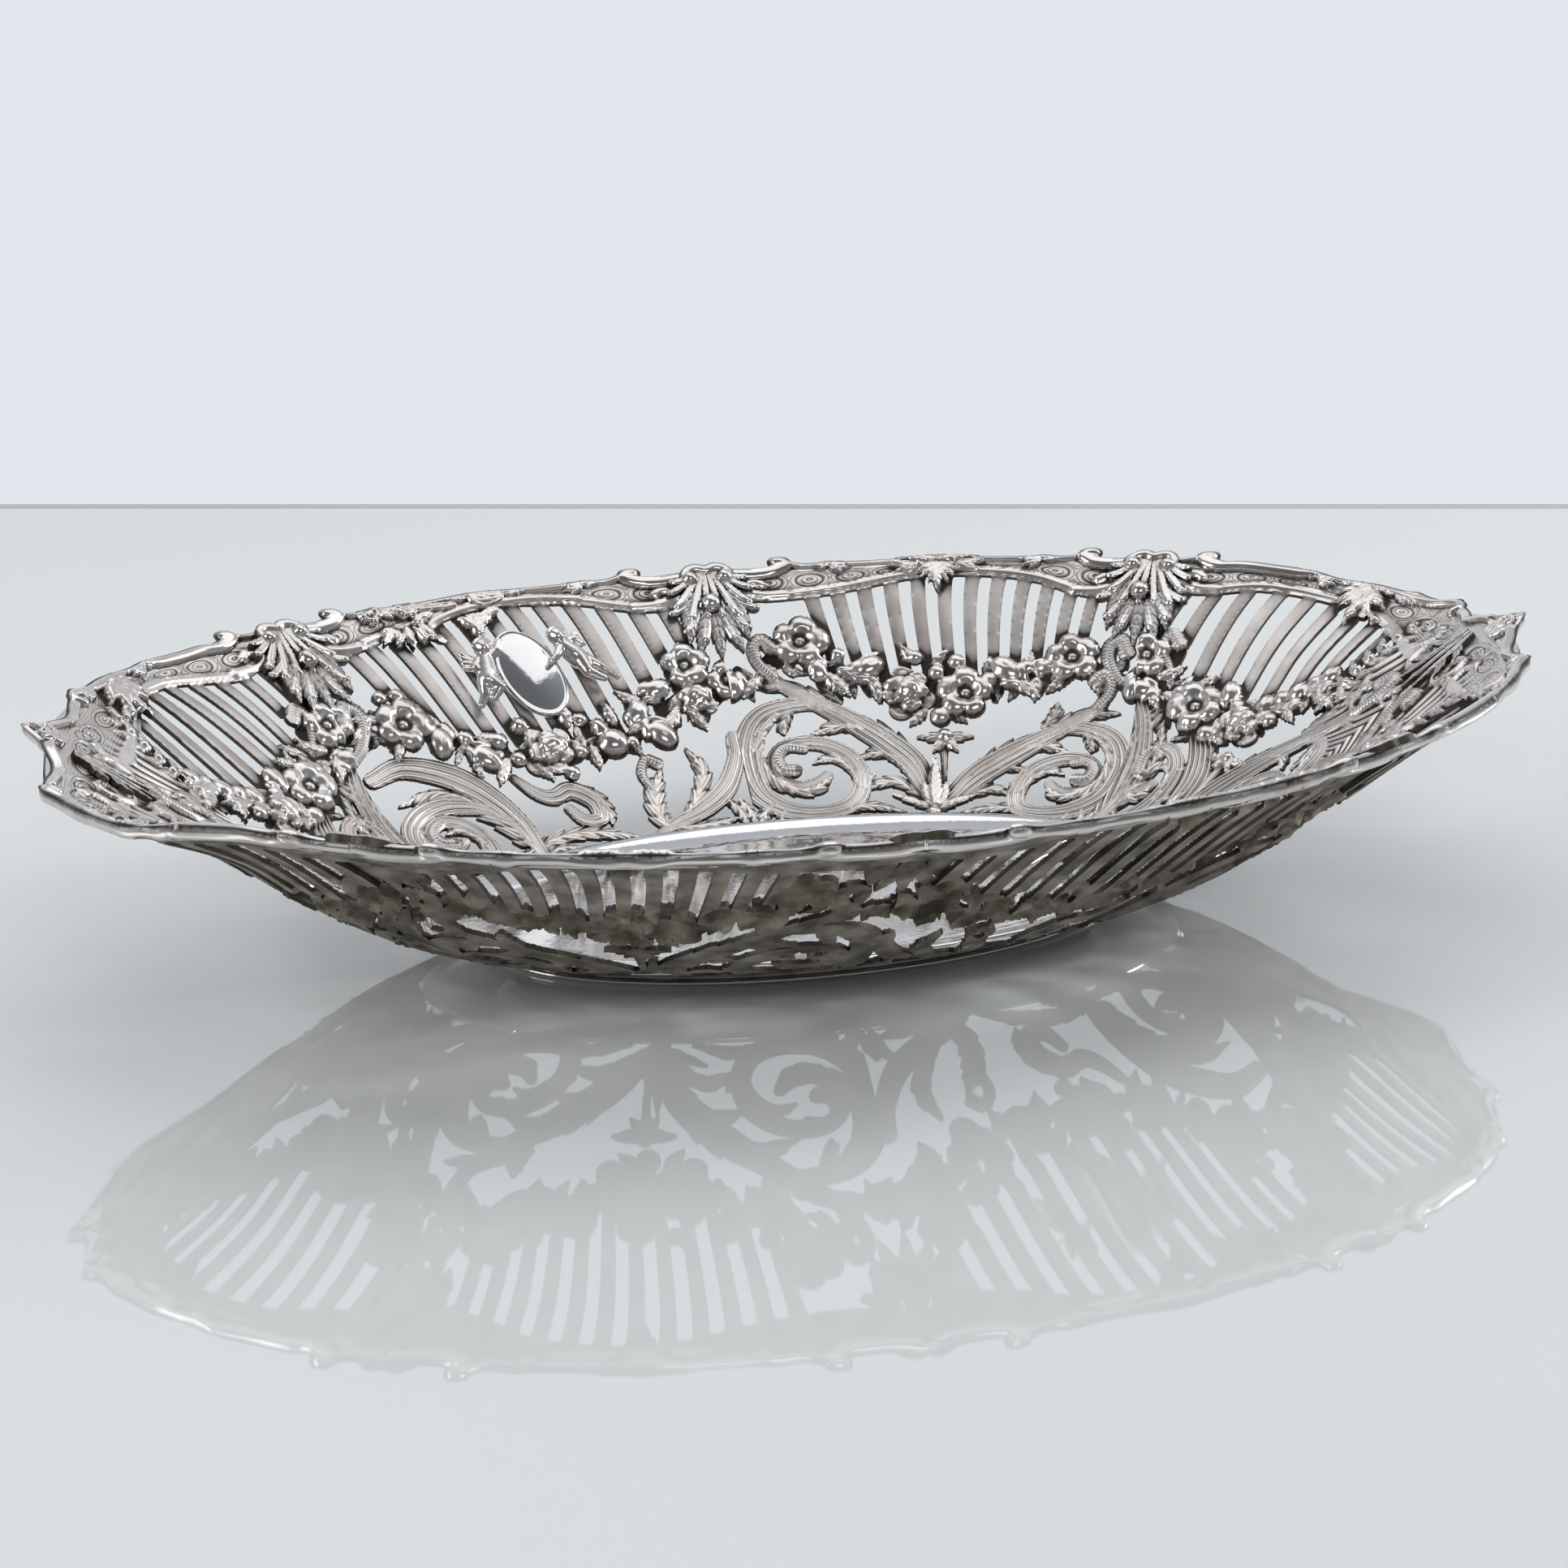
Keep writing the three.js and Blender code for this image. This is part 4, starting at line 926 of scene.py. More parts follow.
def half_turn(ob, name):
    """A copy of a piece, turned half way round the bowl."""
    twin = ob.copy()
    twin.data = ob.data.copy()
    twin.name = name
    twin.data.transform(Matrix.Rotation(math.pi, 4, "Z"))
    bpy.context.scene.collection.objects.link(twin)
    return twin


def dress(ob, material, node):
    """Gives a piece its material, hangs it under the root body, and hides the node of the CAD that it stands
    for.
    """
    ob.data.materials.append(material)
    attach(ob, "root")
    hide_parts(node)


def dress_pair(ob, node, where, material):
    """Dresses a piece, and the same piece half way round the bowl."""
    twin = half_turn(ob, f"{node}_look_{OPPOSITE[where]}")
    dress(ob, material, f"{node}_{where}")
    dress(twin, material, f"{node}_{OPPOSITE[where]}")


# Silver
class Tree:
    """The node tree of a material or world. Each call adds a node and returns its output."""

    def __init__(self, owner):
        owner.use_nodes = True
        self.nodes, self.links = owner.node_tree.nodes, owner.node_tree.links

    def feed(self, socket, value):
        """Sets a socket to a number or a colour, or links it to another node's output."""
        if isinstance(value, (int, float)):
            socket.default_value = value
        elif isinstance(value, tuple):
            socket.default_value = (*value, 1)
        else:
            self.links.new(value, socket)

    def ramp(self, value, stops):
        """A colour ramp over a value; stops are (position, colour)."""
        n = self.nodes.new("ShaderNodeValToRGB")
        elements = n.color_ramp.elements
        while len(elements) < len(stops):
            elements.new(0.5)
        for item, (at, colour) in zip(elements, stops):
            item.position = at
            item.color = (*colour, 1)
        self.feed(n.inputs["Fac"], value)
        return n.outputs["Color"]

    def maths(self, op, a, b=0.0, clamp=True):
        n = self.nodes.new("ShaderNodeMath")
        n.operation = op
        n.use_clamp = clamp
        self.feed(n.inputs[0], a)
        self.feed(n.inputs[1], b)
        return n.outputs[0]

    def mix(self, fac, a, b, blend="MIX"):
        n = self.nodes.new("ShaderNodeMix")
        n.data_type = "RGBA"
        n.blend_type = blend
        for socket, value in ((n.inputs[0], fac), (n.inputs[6], a), (n.inputs[7], b)):
            self.feed(socket, value)
        return n.outputs[2]

    def noise(self, place, size, detail=4.0):
        n = self.nodes.new("ShaderNodeTexNoise")
        self.feed(n.inputs["Scale"], size)
        self.feed(n.inputs["Detail"], detail)
        self.feed(n.inputs["Vector"], place)
        return n.outputs["Fac"]

    def attribute(self, label):
        """The four values of a colour layer of the mesh."""
        n = self.nodes.new("ShaderNodeAttribute")
        n.attribute_name = label
        parts = self.nodes.new("ShaderNodeSeparateColor")
        self.feed(parts.inputs[0], n.outputs["Color"])
        return parts.outputs["Red"], parts.outputs["Green"], parts.outputs["Blue"], n.outputs["Alpha"]


# Near-black colour of the oxide, and of the painted shade, in recesses
OXIDE_AND_SHADE = (0.055, 0.048, 0.042)


def silver(name, colour, roughness, grain=0.25, stain=(0.86, 0.80, 0.76)):
    """Polished silver with engraved lines, dark oxide and painted shade in its recesses, and a thin uneven
    tarnish that is painted shade too on the garland's ground.
    """
    m = bpy.data.materials.new(name)
    tree = Tree(m)
    ramp, maths, mix = tree.ramp, tree.maths, tree.mix
    bsdf = tree.nodes["Principled BSDF"]
    bsdf.inputs["Metallic"].default_value = 1.0
    place = tree.nodes.new("ShaderNodeNewGeometry").outputs["Position"]

    def noise(size, detail=4.0):
        return tree.noise(place, size, detail)

    def plus(a, b, clamp=True):
        return maths("ADD", a, b, clamp)

    def times(a, b, clamp=True):
        return maths("MULTIPLY", a, b, clamp)

    def minus(a, b, clamp=True):
        return maths("SUBTRACT", a, b, clamp)

    recess, tone, polish, behind = tree.attribute("patina_and_shade")
    line, depth = tree.attribute("chasing")[:2]
    cloud = noise(90)
    wave = maths("COSINE", times(line, 2 * math.pi, False), 0.0, False)
    cut = times(minus(times(wave, -1.0, False), 0.45), depth)
    base = mix(1.0, colour, ramp(cloud, [(0.35, (1, 1, 1)), (0.7, stain)]), "MULTIPLY")
    # tone darkens the colour toward grey: tarnish, and painted shade on the garland's ground
    tarnish_and_shade = times(tone, plus(times(cloud, 0.9), 0.25))
    toned = mix(tarnish_and_shade, base, (0.26, 0.24, 0.235))
    speck = times(minus(noise(900, 3), 0.6), 0.8)
    # recess, specks and engraved lines darken the colour toward near black: oxide the silver has, and painted
    # shade in its creases and hollows
    stain_and_shade = plus(plus(recess, speck), times(cut, 1.1))
    front = mix(ramp(stain_and_shade, [(0.18, (0, 0, 0)), (0.75, (1, 1, 1))]), toned, OXIDE_AND_SHADE)
    blotches = [(0.36, (0.08, 0.068, 0.05)), (0.50, (0.25, 0.22, 0.175)), (0.66, (0.45, 0.41, 0.345))]
    blotch = ramp(noise(160, 5), blotches)
    tree.feed(bsdf.inputs["Base Color"], mix(times(behind, 0.8), front, blotch))
    rough = plus(times(recess, 0.25), roughness)
    rough = plus(rough, times(minus(noise(260), 0.5, False), grain, False))
    rough = plus(rough, times(tone, 0.12))
    rough = minus(rough, times(polish, 0.17))
    tree.feed(bsdf.inputs["Roughness"], maths("MAXIMUM", rough, 0.07))
    bump = tree.nodes.new("ShaderNodeBump")
    bump.inputs["Strength"].default_value = 0.35
    bump.inputs["Distance"].default_value = 0.0003
    grainy, engraved = times(noise(700), 0.16), times(times(wave, depth, False), 0.25, False)
    tree.feed(bump.inputs["Height"], plus(grainy, engraved, False))
    tree.feed(bsdf.inputs["Normal"], bump.outputs["Normal"])
    return m


chased = silver("chased silver", (0.80, 0.77, 0.745), 0.31)
cast = silver("cast silver", (0.78, 0.765, 0.75), 0.27)
bright = silver("polished silver", (0.78, 0.785, 0.79), 0.07, grain=0.06, stain=(0.94, 0.94, 0.94))
foot_metal = silver("foot silver", (0.55, 0.53, 0.50), 0.2, grain=0.15)

for bay_name, bay in BAYS.items():
    kind, where = bay_name.split("_", 1)
    piece = wall_bay(f"{kind}_wall_look_{where}", bay)
    dress_pair(piece, f"{kind}_wall", where, chased)


# Rim border. Its outline swells and shrinks along a bay: (millimetres, place as s, width in s) of each swell.
# The end bays have a hook and a notch beside the tip, and the left one has the spike that stands at the tip.
BORDER_REACH = 4.2
SIDE_SWELLS = ((0.8, 0.0, 0.16), (0.4, 0.47, 0.04), (-0.5, 0.80, 0.09), (1.3, 0.655, 0.045), (0.8, 1.0, 0.07))
END_SWELLS = ((0.7, -0.02, 0.14), (1.3, -0.80, 0.055), (-0.5, -0.62, 0.1), (0.5, -0.30, 0.06))
LEFT_TIP_SWELLS = ((1.5, 0.22, 0.06), (-2.4, 0.50, 0.14), (3.6, 0.86, 0.085))
RIGHT_TIP_SWELLS = ((0.6, 0.22, 0.06), (1.7, 0.48, 0.06), (-2.4, 0.78, 0.14))


def rim_reach(s, bay):
    """How far the border's outline goes beyond the top of the sheet, in millimetres."""
    s = np.asarray(s, float)
    swells = END_SWELLS + (LEFT_TIP_SWELLS if bay["left"] else RIGHT_TIP_SWELLS)
    if not bay["end"]:
        s, swells = np.abs(s), SIDE_SWELLS
    reach = BORDER_REACH
    for high, at, width in swells:
        reach = reach + high * groove(s - at, width)
    return reach


def inner_roll(s, end):
    """Half the height of the roll seen from inside, in millimetres: thick on the scrolls beside the drops."""
    s = np.asarray(s, float)
    return 0.75 + 0.45 * groove((s + 0.74) if end else (np.abs(s) - 0.74), 0.12)


def edge_v(bay, at, inward):
    """The v that lies so many millimetres inside the border's edge."""
    return SHEET_TOP + (float(rim_reach(at, bay)) - inward) / PER_V


def wrap(r, bay, at, size, way):
    """Leaves wrapped over the edge, lying along it."""
    for turn, long in ((0.12, 6.5), (-0.25, 6.0), (0.35, 4.6), (-0.6, 4.6)):
        turn = turn if way > 0 else math.pi - turn
        leaf(r, at, edge_v(bay, at, 1.9), long * size, 1.1 * size, turn, 1.1, 0.2, 3, 0.8)
    turn = math.pi if way > 0 else 0.0
    leaf(r, at, edge_v(bay, at, 1.8), 4.4 * size, 1.0 * size, turn, 1.1, 0, 3, 0.8)


def shell(r, bay, at, size):
    """Lobes spread like a shell over the middle of the border, with a leaf to each side."""
    for k in range(-3, 4):
        finger(r, at, edge_v(bay, at, 4.2), 4.3 * size, 0.85 * size, UP - k * 0.42, 0.9, 0, 1.0)
    for k in range(-2, 3):
        finger(r, at, edge_v(bay, at, 3.6), 4.2 * size, 0.75 * size, -UP - k * 0.5, 0.7, 0, 0.9)
    for turn in (0.12, math.pi - 0.12):
        leaf(r, at, edge_v(bay, at, 2.0), 8.5 * size, 1.2 * size, turn, 1.2, 0, 5, 1.1)


def thick_scroll(r, outline, points, width=3.0):
    """A scroll that may reach beyond the border's outline."""
    scroll(r, points, width, 1.1, 0.7, ends=(0.5, 1.15), polish=0.7)
    at, _, _, d, over = r.along(points, width)
    outline[at] = np.maximum(outline[at], width / 2 - np.hypot(d, over))


def end_border(r, bay, outline):
    """The forms on the border of an end bay: a scroll, leaves, the hook, and the roll on to the tip."""

    def on_edge(s, inward, shift=0.0):
        return s + shift, edge_v(bay, s, inward)

    curled = [(-0.62, 0.992), (-0.72, 0.985), (-0.79, 1.0), (-0.805, 1.018), (-0.77, 1.022)]
    thick_scroll(r, outline, [on_edge(-0.3, 1.2), on_edge(-0.48, 1.4), *curled])
    for at, size, way in ((-0.28, 0.8, 1), (-0.02, 1.1, -1), (0.13, 0.9, 1)):
        wrap(r, bay, at, size, way)
    hook = 0.22 if bay["left"] else 0.48
    path = [on_edge(hook - 0.36, 1.6), on_edge(hook - 0.16, 1.7), on_edge(hook, 1.6),
            (hook + 0.065, edge_v(bay, hook + 0.02, 1.9)), on_edge(hook, 4.2, 0.05)]
    thick_scroll(r, outline, path, 2.2)
    rest = np.linspace(hook + 0.12, 0.76 if bay["left"] else 1.0, 6)
    scroll(r, [on_edge(at, 1.7) for at in rest], 1.6, 0.9, 0.9, ends=(1.2, 1.0), polish=0.5)
    wrap(r, bay, hook - 0.30, 0.9, 1)
    if bay["left"]:
        for turn, size in ((-0.35, 8.5), (0.0, 10.0), (0.3, 8.5)):
            leaf(r, 0.86 + 0.04 * turn, 0.925, size, 1.5, UP - turn, 1.0, 0.2, 2, 0.9)


def side_border(r, bay, outline, plain):
    """The forms on the border of a side bay: a scroll at each end, and a shell or leaves between them."""
    curled = ((0.88, 0.982), (0.79, 0.975), (0.71, 0.983), (0.66, 1.004), (0.665, 1.02), (0.70, 1.022))
    for way in (-1, 1):
        start = (way * 0.97, edge_v(bay, 0.97, 2.6))
        thick_scroll(r, outline, [start] + [(way * a, b) for a, b in curled])
        wrap(r, bay, way * 0.47, 0.8, -way)
    if plain:
        shell(r, bay, 0.0, 1.15)
        return
    wrap(r, bay, -0.12, 1.0, 1)
    wrap(r, bay, 0.05, 1.0, -1)
    for at in (0.34, 0.52):
        flower(r, at, 0.99, 2.9, at * 9, 1.0)
    for k in range(5):
        leaf(r, 0.30 - 0.05 * k, edge_v(bay, 0.2, 2.6), 8.0, 1.2, 0.1 - 0.05 * k, 1.0, 0.1, 4)


def border_piece(name, bay, plain):
    """A length of the cast border: a roll along the edge, the forms on it, and a rounded outer side."""
    end = bay["end"]
    r = Relief(bay_place(bay["left"], end), (-1, 1), BORDER_SPAN, int(330 * FINE), int(72 * FINE))
    s, v = r.S.ravel(), r.V.ravel()
    top = (SHEET_TOP - v) * PER_V + rim_reach(s, bay)
    half = inner_roll(s, end)
    middle = 0.6
    cove = 0.15 + 0.55 * np.clip(1 - (top - 2 * half) / 1.6, 0, 1) ** 2
    tube = middle + half * np.where(top < half, 1.0, dome((top - half) / half))
    base = np.where(top < 2 * half, tube, cove)
    r.press(np.arange(len(s)), np.minimum(top, (v - BORDER_FOOT) * PER_V), base, polish=0.6)
    outline = r.M.copy()
    if end:
        end_border(r, bay, outline)
    else:
        side_border(r, bay, outline, plain)
    r.M = np.minimum(r.M, outline + 0.4)

    # the outer side
    outer_half = 1.35 + 0.25 * (half - 0.75)
    out = np.clip((top - outer_half) / outer_half, -1, 1)
    joint = 0.0 if end else 0.35 * groove((s - 0.17) * 42, 1.2)
    lobes = 0.6 * np.clip(r.H - base, 0, 2.0) * np.clip(1 - (top - 3.0) / 2.0, 0, 1)
    back = middle - outer_half * 1.15 * np.where(out < 0, 1.0, dome(out)) - joint - lobes
    back = np.where(top > outer_half, np.minimum(back, -0.55 - lobes), back)
    everywhere = np.ones(r.S.shape)
    back = blur(back.reshape(r.S.shape), everywhere, 3.2 * FINE).ravel()

    # both sides rounded toward each other near the edge
    rim = blur(outline.reshape(r.S.shape), everywhere, 2.0 * FINE).ravel()
    near_edge = 1 - np.clip((rim - 0.35) / 1.3, 0, 1)
    outer = np.clip((v - 0.962) * 60, 0, 1)
    round_off = 1 - outer * (1 - dome(near_edge))
    r.H = middle + (r.H - middle) * round_off
    back = middle + (back - middle) * round_off
    return sheet_mesh(r, name, thickness=1.0, follow=0.0, back=back, dark_back=False, least=0.06)


for bay_name, bay in BAYS.items():
    kind, where = bay_name.split("_", 1)
    piece = border_piece(f"{kind}_border_look_{where}", bay, not bay["left"])
    dress_pair(piece, f"{kind}_border", where, cast)


# Leaf drops
def seam_place(left, corner, tip):
    """Place of (x, v) beside a seam: x in millimetres across it."""

    def place(x, v):
        v = np.asarray(v, float)
        x = np.asarray(x, float)
        angle = corner_angle(v) if corner else np.full_like(v, 0.0 if tip else 90.0)
        base = 180 - angle if left else angle
        span = np.linalg.norm(wall(base + 0.5, v) - wall(base - 0.5, v), axis=-1)
        return wall(base + x / span * (1 if left else -1), v)

    return place


def tip_strands(r):
    """Three strands that hang at a tip, with two leaves to each side."""
    for x in (-1.9, 0.0, 1.9):
        line = [(x * 1.7, 0.72 + 0.01 * abs(x)), (x * 1.3, 0.79), (x, 0.86), (x * 0.6, 0.925)]
        stem(r, line, [0.7, 1.3, 1.5, 0.9], 0.9, 1.0, 1)
    for way in (-1, 1):
        leaf(r, way * 2.2, 0.84, 6.5, 1.2, -UP + way * 0.55, 0.9, way * 0.3, 3, 0.9, 0.6)
        leaf(r, way * 1.6, 0.89, 6.0, 1.2, -UP + way * 0.75, 0.9, way * 0.3, 3, 0.9, 0.6)


def leaf_tiers(r, lift=1.5):
    """Two tiers of leaves that hang over a seam, with volutes and a bud."""
    for way in (-1, 1):
        leaf(r, way * 3.0, 0.915, 12.0, 2.2, -UP + way * 0.60, lift - 0.4, way * -0.6, 5, 0.9, 0.75)
        leaf(r, way * 3.4, 0.865, 10.5, 2.2, -UP + way * 0.50, lift - 0.3, way * -0.4, 5, 0.9, 0.75)
        leaf(r, way * 1.6, 0.845, 12.0, 2.1, -UP + way * 0.22, lift - 0.2, way * 0.2, 5, 0.9, 0.75)
    leaf(r, 0.0, 0.86, 14.0, 2.1, -UP, lift - 0.3, 0, 5, 0.9, 0.75)
    spread = ((1.20, 3.0, 6.0, 0.9), (0.92, 2.6, 8.5, 1.0), (0.62, 2.0, 11.0, 1.1), (0.34, 1.3, 13.0, 1.1),
              (0.10, 0.5, 12.0, 1.0))
    for turn, start, size, half in spread:
        for way in (-1, 1):
            finger(r, way * start, 0.985, size, half, -UP + way * turn * 0.75, lift + 0.1 + 0.25 * turn,
                   way * 0.7 * turn, 0.95, 0.35)
    for way in (-1, 1):
        finger(r, way * 4.2, 0.89, 7.0, 1.1, -UP + way * 0.75, lift + 0.1, way * 0.6, 1.0, 0.35)
        finger(r, way * 3.0, 0.85, 7.5, 1.1, -UP + way * 0.42, lift + 0.2, way * 0.5, 1.0, 0.35)
        finger(r, way * 1.4, 0.835, 8.0, 1.1, -UP + way * 0.15, lift + 0.2, way * 0.3, 1.0, 0.35)
        path = [(way * 0.4, 1.0), (way * 2.2, 1.008), (way * 4.0, 1.0), (way * 5.0, 0.978),
                (way * 4.4, 0.956), (way * 3.4, 0.962)]
        scroll(r, path, 2.3, 1.0, lift, ends=(1.0, 1.3), polish=0.4)
        ball(r, way * 3.9, 0.966, 1.5, lift + 0.7, cap=False)
    ball(r, -0.4, 0.862, 2.0, lift + 1.0, 1.1, cap=False, high=1.1)


def drop_piece(name, left, corner, tip):
    r = Relief(seam_place(left, corner, tip), (-10.5, 10.5), DROP_SPAN, int(100 * FINE), int(146 * FINE))
    if tip:
        tip_strands(r)
    else:
        leaf_tiers(r)
    return sheet_mesh(r, name, thickness=0.5, follow=0.0, back=np.full(len(r.H), 0.5))


for kind, where in (("corner", "back_left"), ("corner", "back_right"), ("side", "back"), ("tip", "right")):
    piece = drop_piece(f"{kind}_drop_look_{where}", where == "back_left", kind == "corner", kind == "tip")
    dress_pair(piece, f"{kind}_drop", where, cast)


# Well, foot and base wire
def oval_sweep(profile, half_length, half_width, sides=192):
    """A closed section swept round an oval; profile points are (out, z)."""
    p = np.array(profile)
    a = np.linspace(0, 2 * np.pi, sides, endpoint=False)
    verts = np.zeros((sides, len(p), 3))
    verts[..., 0] = (half_length + p[None, :, 0]) * np.cos(a)[:, None]
    verts[..., 1] = (half_width + p[None, :, 0]) * np.sin(a)[:, None]
    verts[..., 2] = p[None, :, 1]
    ids = np.arange(sides * len(p)).reshape(sides, len(p))
    nxt = np.roll(ids, -1, 0)
    quads = np.stack([ids, nxt, np.roll(nxt, -1, 1), np.roll(ids, -1, 1)], -1).reshape(-1, 4)
    return verts.reshape(-1, 3), quads[:, ::-1]


def ring_faces(count, sides):
    """Faces of a stack of rings, closed at each end by a fan round one of the two last vertices."""
    ids = np.arange(count * sides).reshape(count, sides)
    nxt = np.roll(ids, -1, 1)
    quads = np.stack([ids[:-1], ids[1:], nxt[1:], nxt[:-1]], -1).reshape(-1, 4)
    hub = np.full(sides, count * sides)
    return [quads, np.stack([hub, ids[0], nxt[0]], 1), np.stack([hub + 1, nxt[-1], ids[-1]], 1)]


WELL_FLOOR = 6.0
WELL_SHEET = 1.05


def well_piece():
    """The plain well: a shallow oval dish with a rolled bright edge."""
    sides, steps = 192, 40
    edge = (WELL_EDGE[0] - 0.8, WELL_EDGE[1] - 0.8)
    share = np.linspace(0, 1, steps)
    rise = WELL_FLOOR + 0.35 * share + 1.9 * np.clip((share - 0.80) / 0.20, 0, 1) ** 2
    a = np.linspace(0, 2 * np.pi, sides, endpoint=False)

    def ring(half_length, half_width, z):
        return np.stack([half_length * np.cos(a), half_width * np.sin(a), np.full(sides, z)], -1)

    top = [ring(edge[0] * f, edge[1] * f, z) for f, z in zip(share[1:], rise[1:])]
    lip = []
    for b in np.linspace(-0.2, np.pi + 0.3, 8)[1:]:
        out = 0.9 * math.sin(b / 2)
        lip.append(ring(edge[0] + out, edge[1] + out, rise[-1] - 0.85 * (1 - math.cos(b * 0.9))))
    inward = zip(share[:0:-1], rise[:0:-1])
    under = [ring((edge[0] - 0.4) * f, (edge[1] - 0.4) * f, z - WELL_SHEET) for f, z in inward]
    rings = np.array(top + lip + under)
    verts = np.vstack([rings.reshape(-1, 3), [[0, 0, rise[0]], [0, 0, rise[0] - WELL_SHEET]]])
    patina_and_shade = np.zeros((len(verts), 4))
    patina_and_shade[(len(top) + 6) * sides : -2, 3] = 0.9
    patina_and_shade[-1, 3] = 0.9
    return mesh_object("well_look", verts, ring_faces(len(rings), sides), patina_and_shade)


dress(well_piece(), bright, "well")
ring_profile = [(-1.2, 1.25), (-0.15, 1.25), (0.0, 1.6), (-0.6, 2.4), (-2.2, 3.4), (-3.1, 4.3), (-3.2, 5.0),
                (-4.4, 5.0), (-4.3, 4.2), (-3.4, 3.2), (-1.9, 2.4), (-1.3, 1.7)]
verts, quads = oval_sweep(ring_profile, *FOOT)
patina_and_shade = np.zeros((len(verts), 4))
patina_and_shade[:, 3] = 0.8
dress(mesh_object("foot_ring_look", verts, [quads], patina_and_shade), foot_metal, "foot_ring")
wire_turns = np.linspace(0, 2 * np.pi, 12, endpoint=False)
wire_profile = [(-0.6 + 1.25 * math.cos(t), 0.62 + 0.62 * math.sin(t)) for t in wire_turns]
verts, quads = oval_sweep(wire_profile, *FOOT)
dress(mesh_object("foot_wire_look", verts, [quads]), bright, "foot_wire")


# Medallion and putti
MEDAL_AT = (-0.097, 0.69)
MEDAL_HALF = (6.8, 11.1)
MEDAL_LEAN = math.radians(19)


def medal_frame(left):
    """Centre of the medallion, its directions across (along s), up and out of the wall."""
    o, a, b = directions(bay_place(left, False), *MEDAL_AT, 0.01)
    n = np.cross(a, b)
    return o, a, b, n if n @ (np.array([0, 0, 60]) - o) > 0 else -n


def medallion_piece(name, left):
    """Polished domed oval with a thin raised edge, its top leaning toward the corner."""
    o, a, b, n = medal_frame(left)
    c, w = math.cos(MEDAL_LEAN), math.sin(MEDAL_LEAN)
    across, long = a * c - b * w, b * c + a * w
    sides = 64
    t = np.linspace(0, 2 * np.pi, sides, endpoint=False)
    inner = np.linspace(0.0, 0.92, 12)[1:]
    share = np.concatenate([inner, [0.95, 0.975, 1.0, 1.0, 0.97]])
    lift = np.concatenate([3.2 - 0.9 * inner**2, [2.55, 2.5, 2.1, 1.5, 1.3]])
    rings = []
    for f, z in zip(share, lift):
        x, y = MEDAL_HALF[0] * f * np.cos(t), MEDAL_HALF[1] * f * np.sin(t)
        rings.append(o + np.outer(x, across) + np.outer(y, long) + np.outer(z + 0.07 * y, n))
    verts = np.vstack([np.array(rings).reshape(-1, 3), o + n * 3.2, o + n * 1.3])
    faces = ring_faces(len(rings), sides)
    if np.cross(a, b) @ n < 0:
        faces = [f[:, ::-1] for f in faces]
    return mesh_object(name, verts, faces)


# Limbs of the two figures: (x, y, out) at both ends in millimetres from the medallion's centre, x toward the
# corner, then the thickness at both ends. Heads are balls at (x, y, out) with a radius.
KNEELER = dict(
    head=(9.6, 6.9, 0.9, 1.95),
    limbs=(((9.7, 4.6, 0.4), (10.2, 0.8, 0.3), 1.5, 1.9), ((10.2, 0.8, 0.3), (10.6, -0.9, 0.4), 1.9, 1.9),
           ((8.7, 4.2, 0.6), (6.6, 5.6, 1.2), 1.05, 0.8), ((6.6, 5.6, 1.2), (5.4, 7.6, 1.0), 0.85, 0.7),
           ((10.9, 4.0, 0.5), (12.4, 2.4, 0.8), 1.0, 0.8), ((12.4, 2.4, 0.8), (11.6, 0.4, 1.0), 0.8, 0.6),
           ((10.2, -1.0, 0.7), (8.6, -3.4, 1.3), 1.5, 1.1),
           ((8.6, -3.4, 1.3), (10.6, -5.6, 0.8), 1.1, 0.75),
           ((11.2, -1.0, 0.2), (12.0, -4.2, 0.3), 1.45, 1.05),
           ((12.0, -4.2, 0.3), (13.6, -6.6, 0.2), 1.0, 0.7)),
    wing=((11.2, 4.0, -0.4), (14.2, 6.6, -0.4)),
)
RECLINER = dict(
    head=(-7.6, 7.2, 0.9, 1.95),
    limbs=(((-8.4, 5.0, 0.4), (-10.4, 2.2, 0.5), 1.5, 1.9),
           ((-10.4, 2.2, 0.5), (-11.4, 0.8, 0.4), 1.9, 1.8),
           ((-7.8, 4.2, 0.8), (-6.2, 2.2, 1.2), 1.05, 0.8), ((-6.2, 2.2, 1.2), (-4.8, 1.0, 1.2), 0.8, 0.6),
           ((-9.2, 5.4, 0.3), (-11.6, 6.2, 0.5), 1.0, 0.8),
           ((-11.6, 6.2, 0.5), (-13.2, 4.6, 0.6), 0.8, 0.6),
           ((-11.2, 0.8, 0.9), (-12.0, -2.8, 1.3), 1.5, 1.1),
           ((-12.0, -2.8, 1.3), (-15.2, -4.6, 0.7), 1.1, 0.7),
           ((-12.0, 1.2, 0.3), (-15.0, -1.4, 0.6), 1.45, 1.05),
           ((-15.0, -1.4, 0.6), (-18.4, -4.4, 0.3), 1.0, 0.65)),
    wing=((-9.6, 4.6, -0.4), (-12.6, 8.0, -0.4)),
)


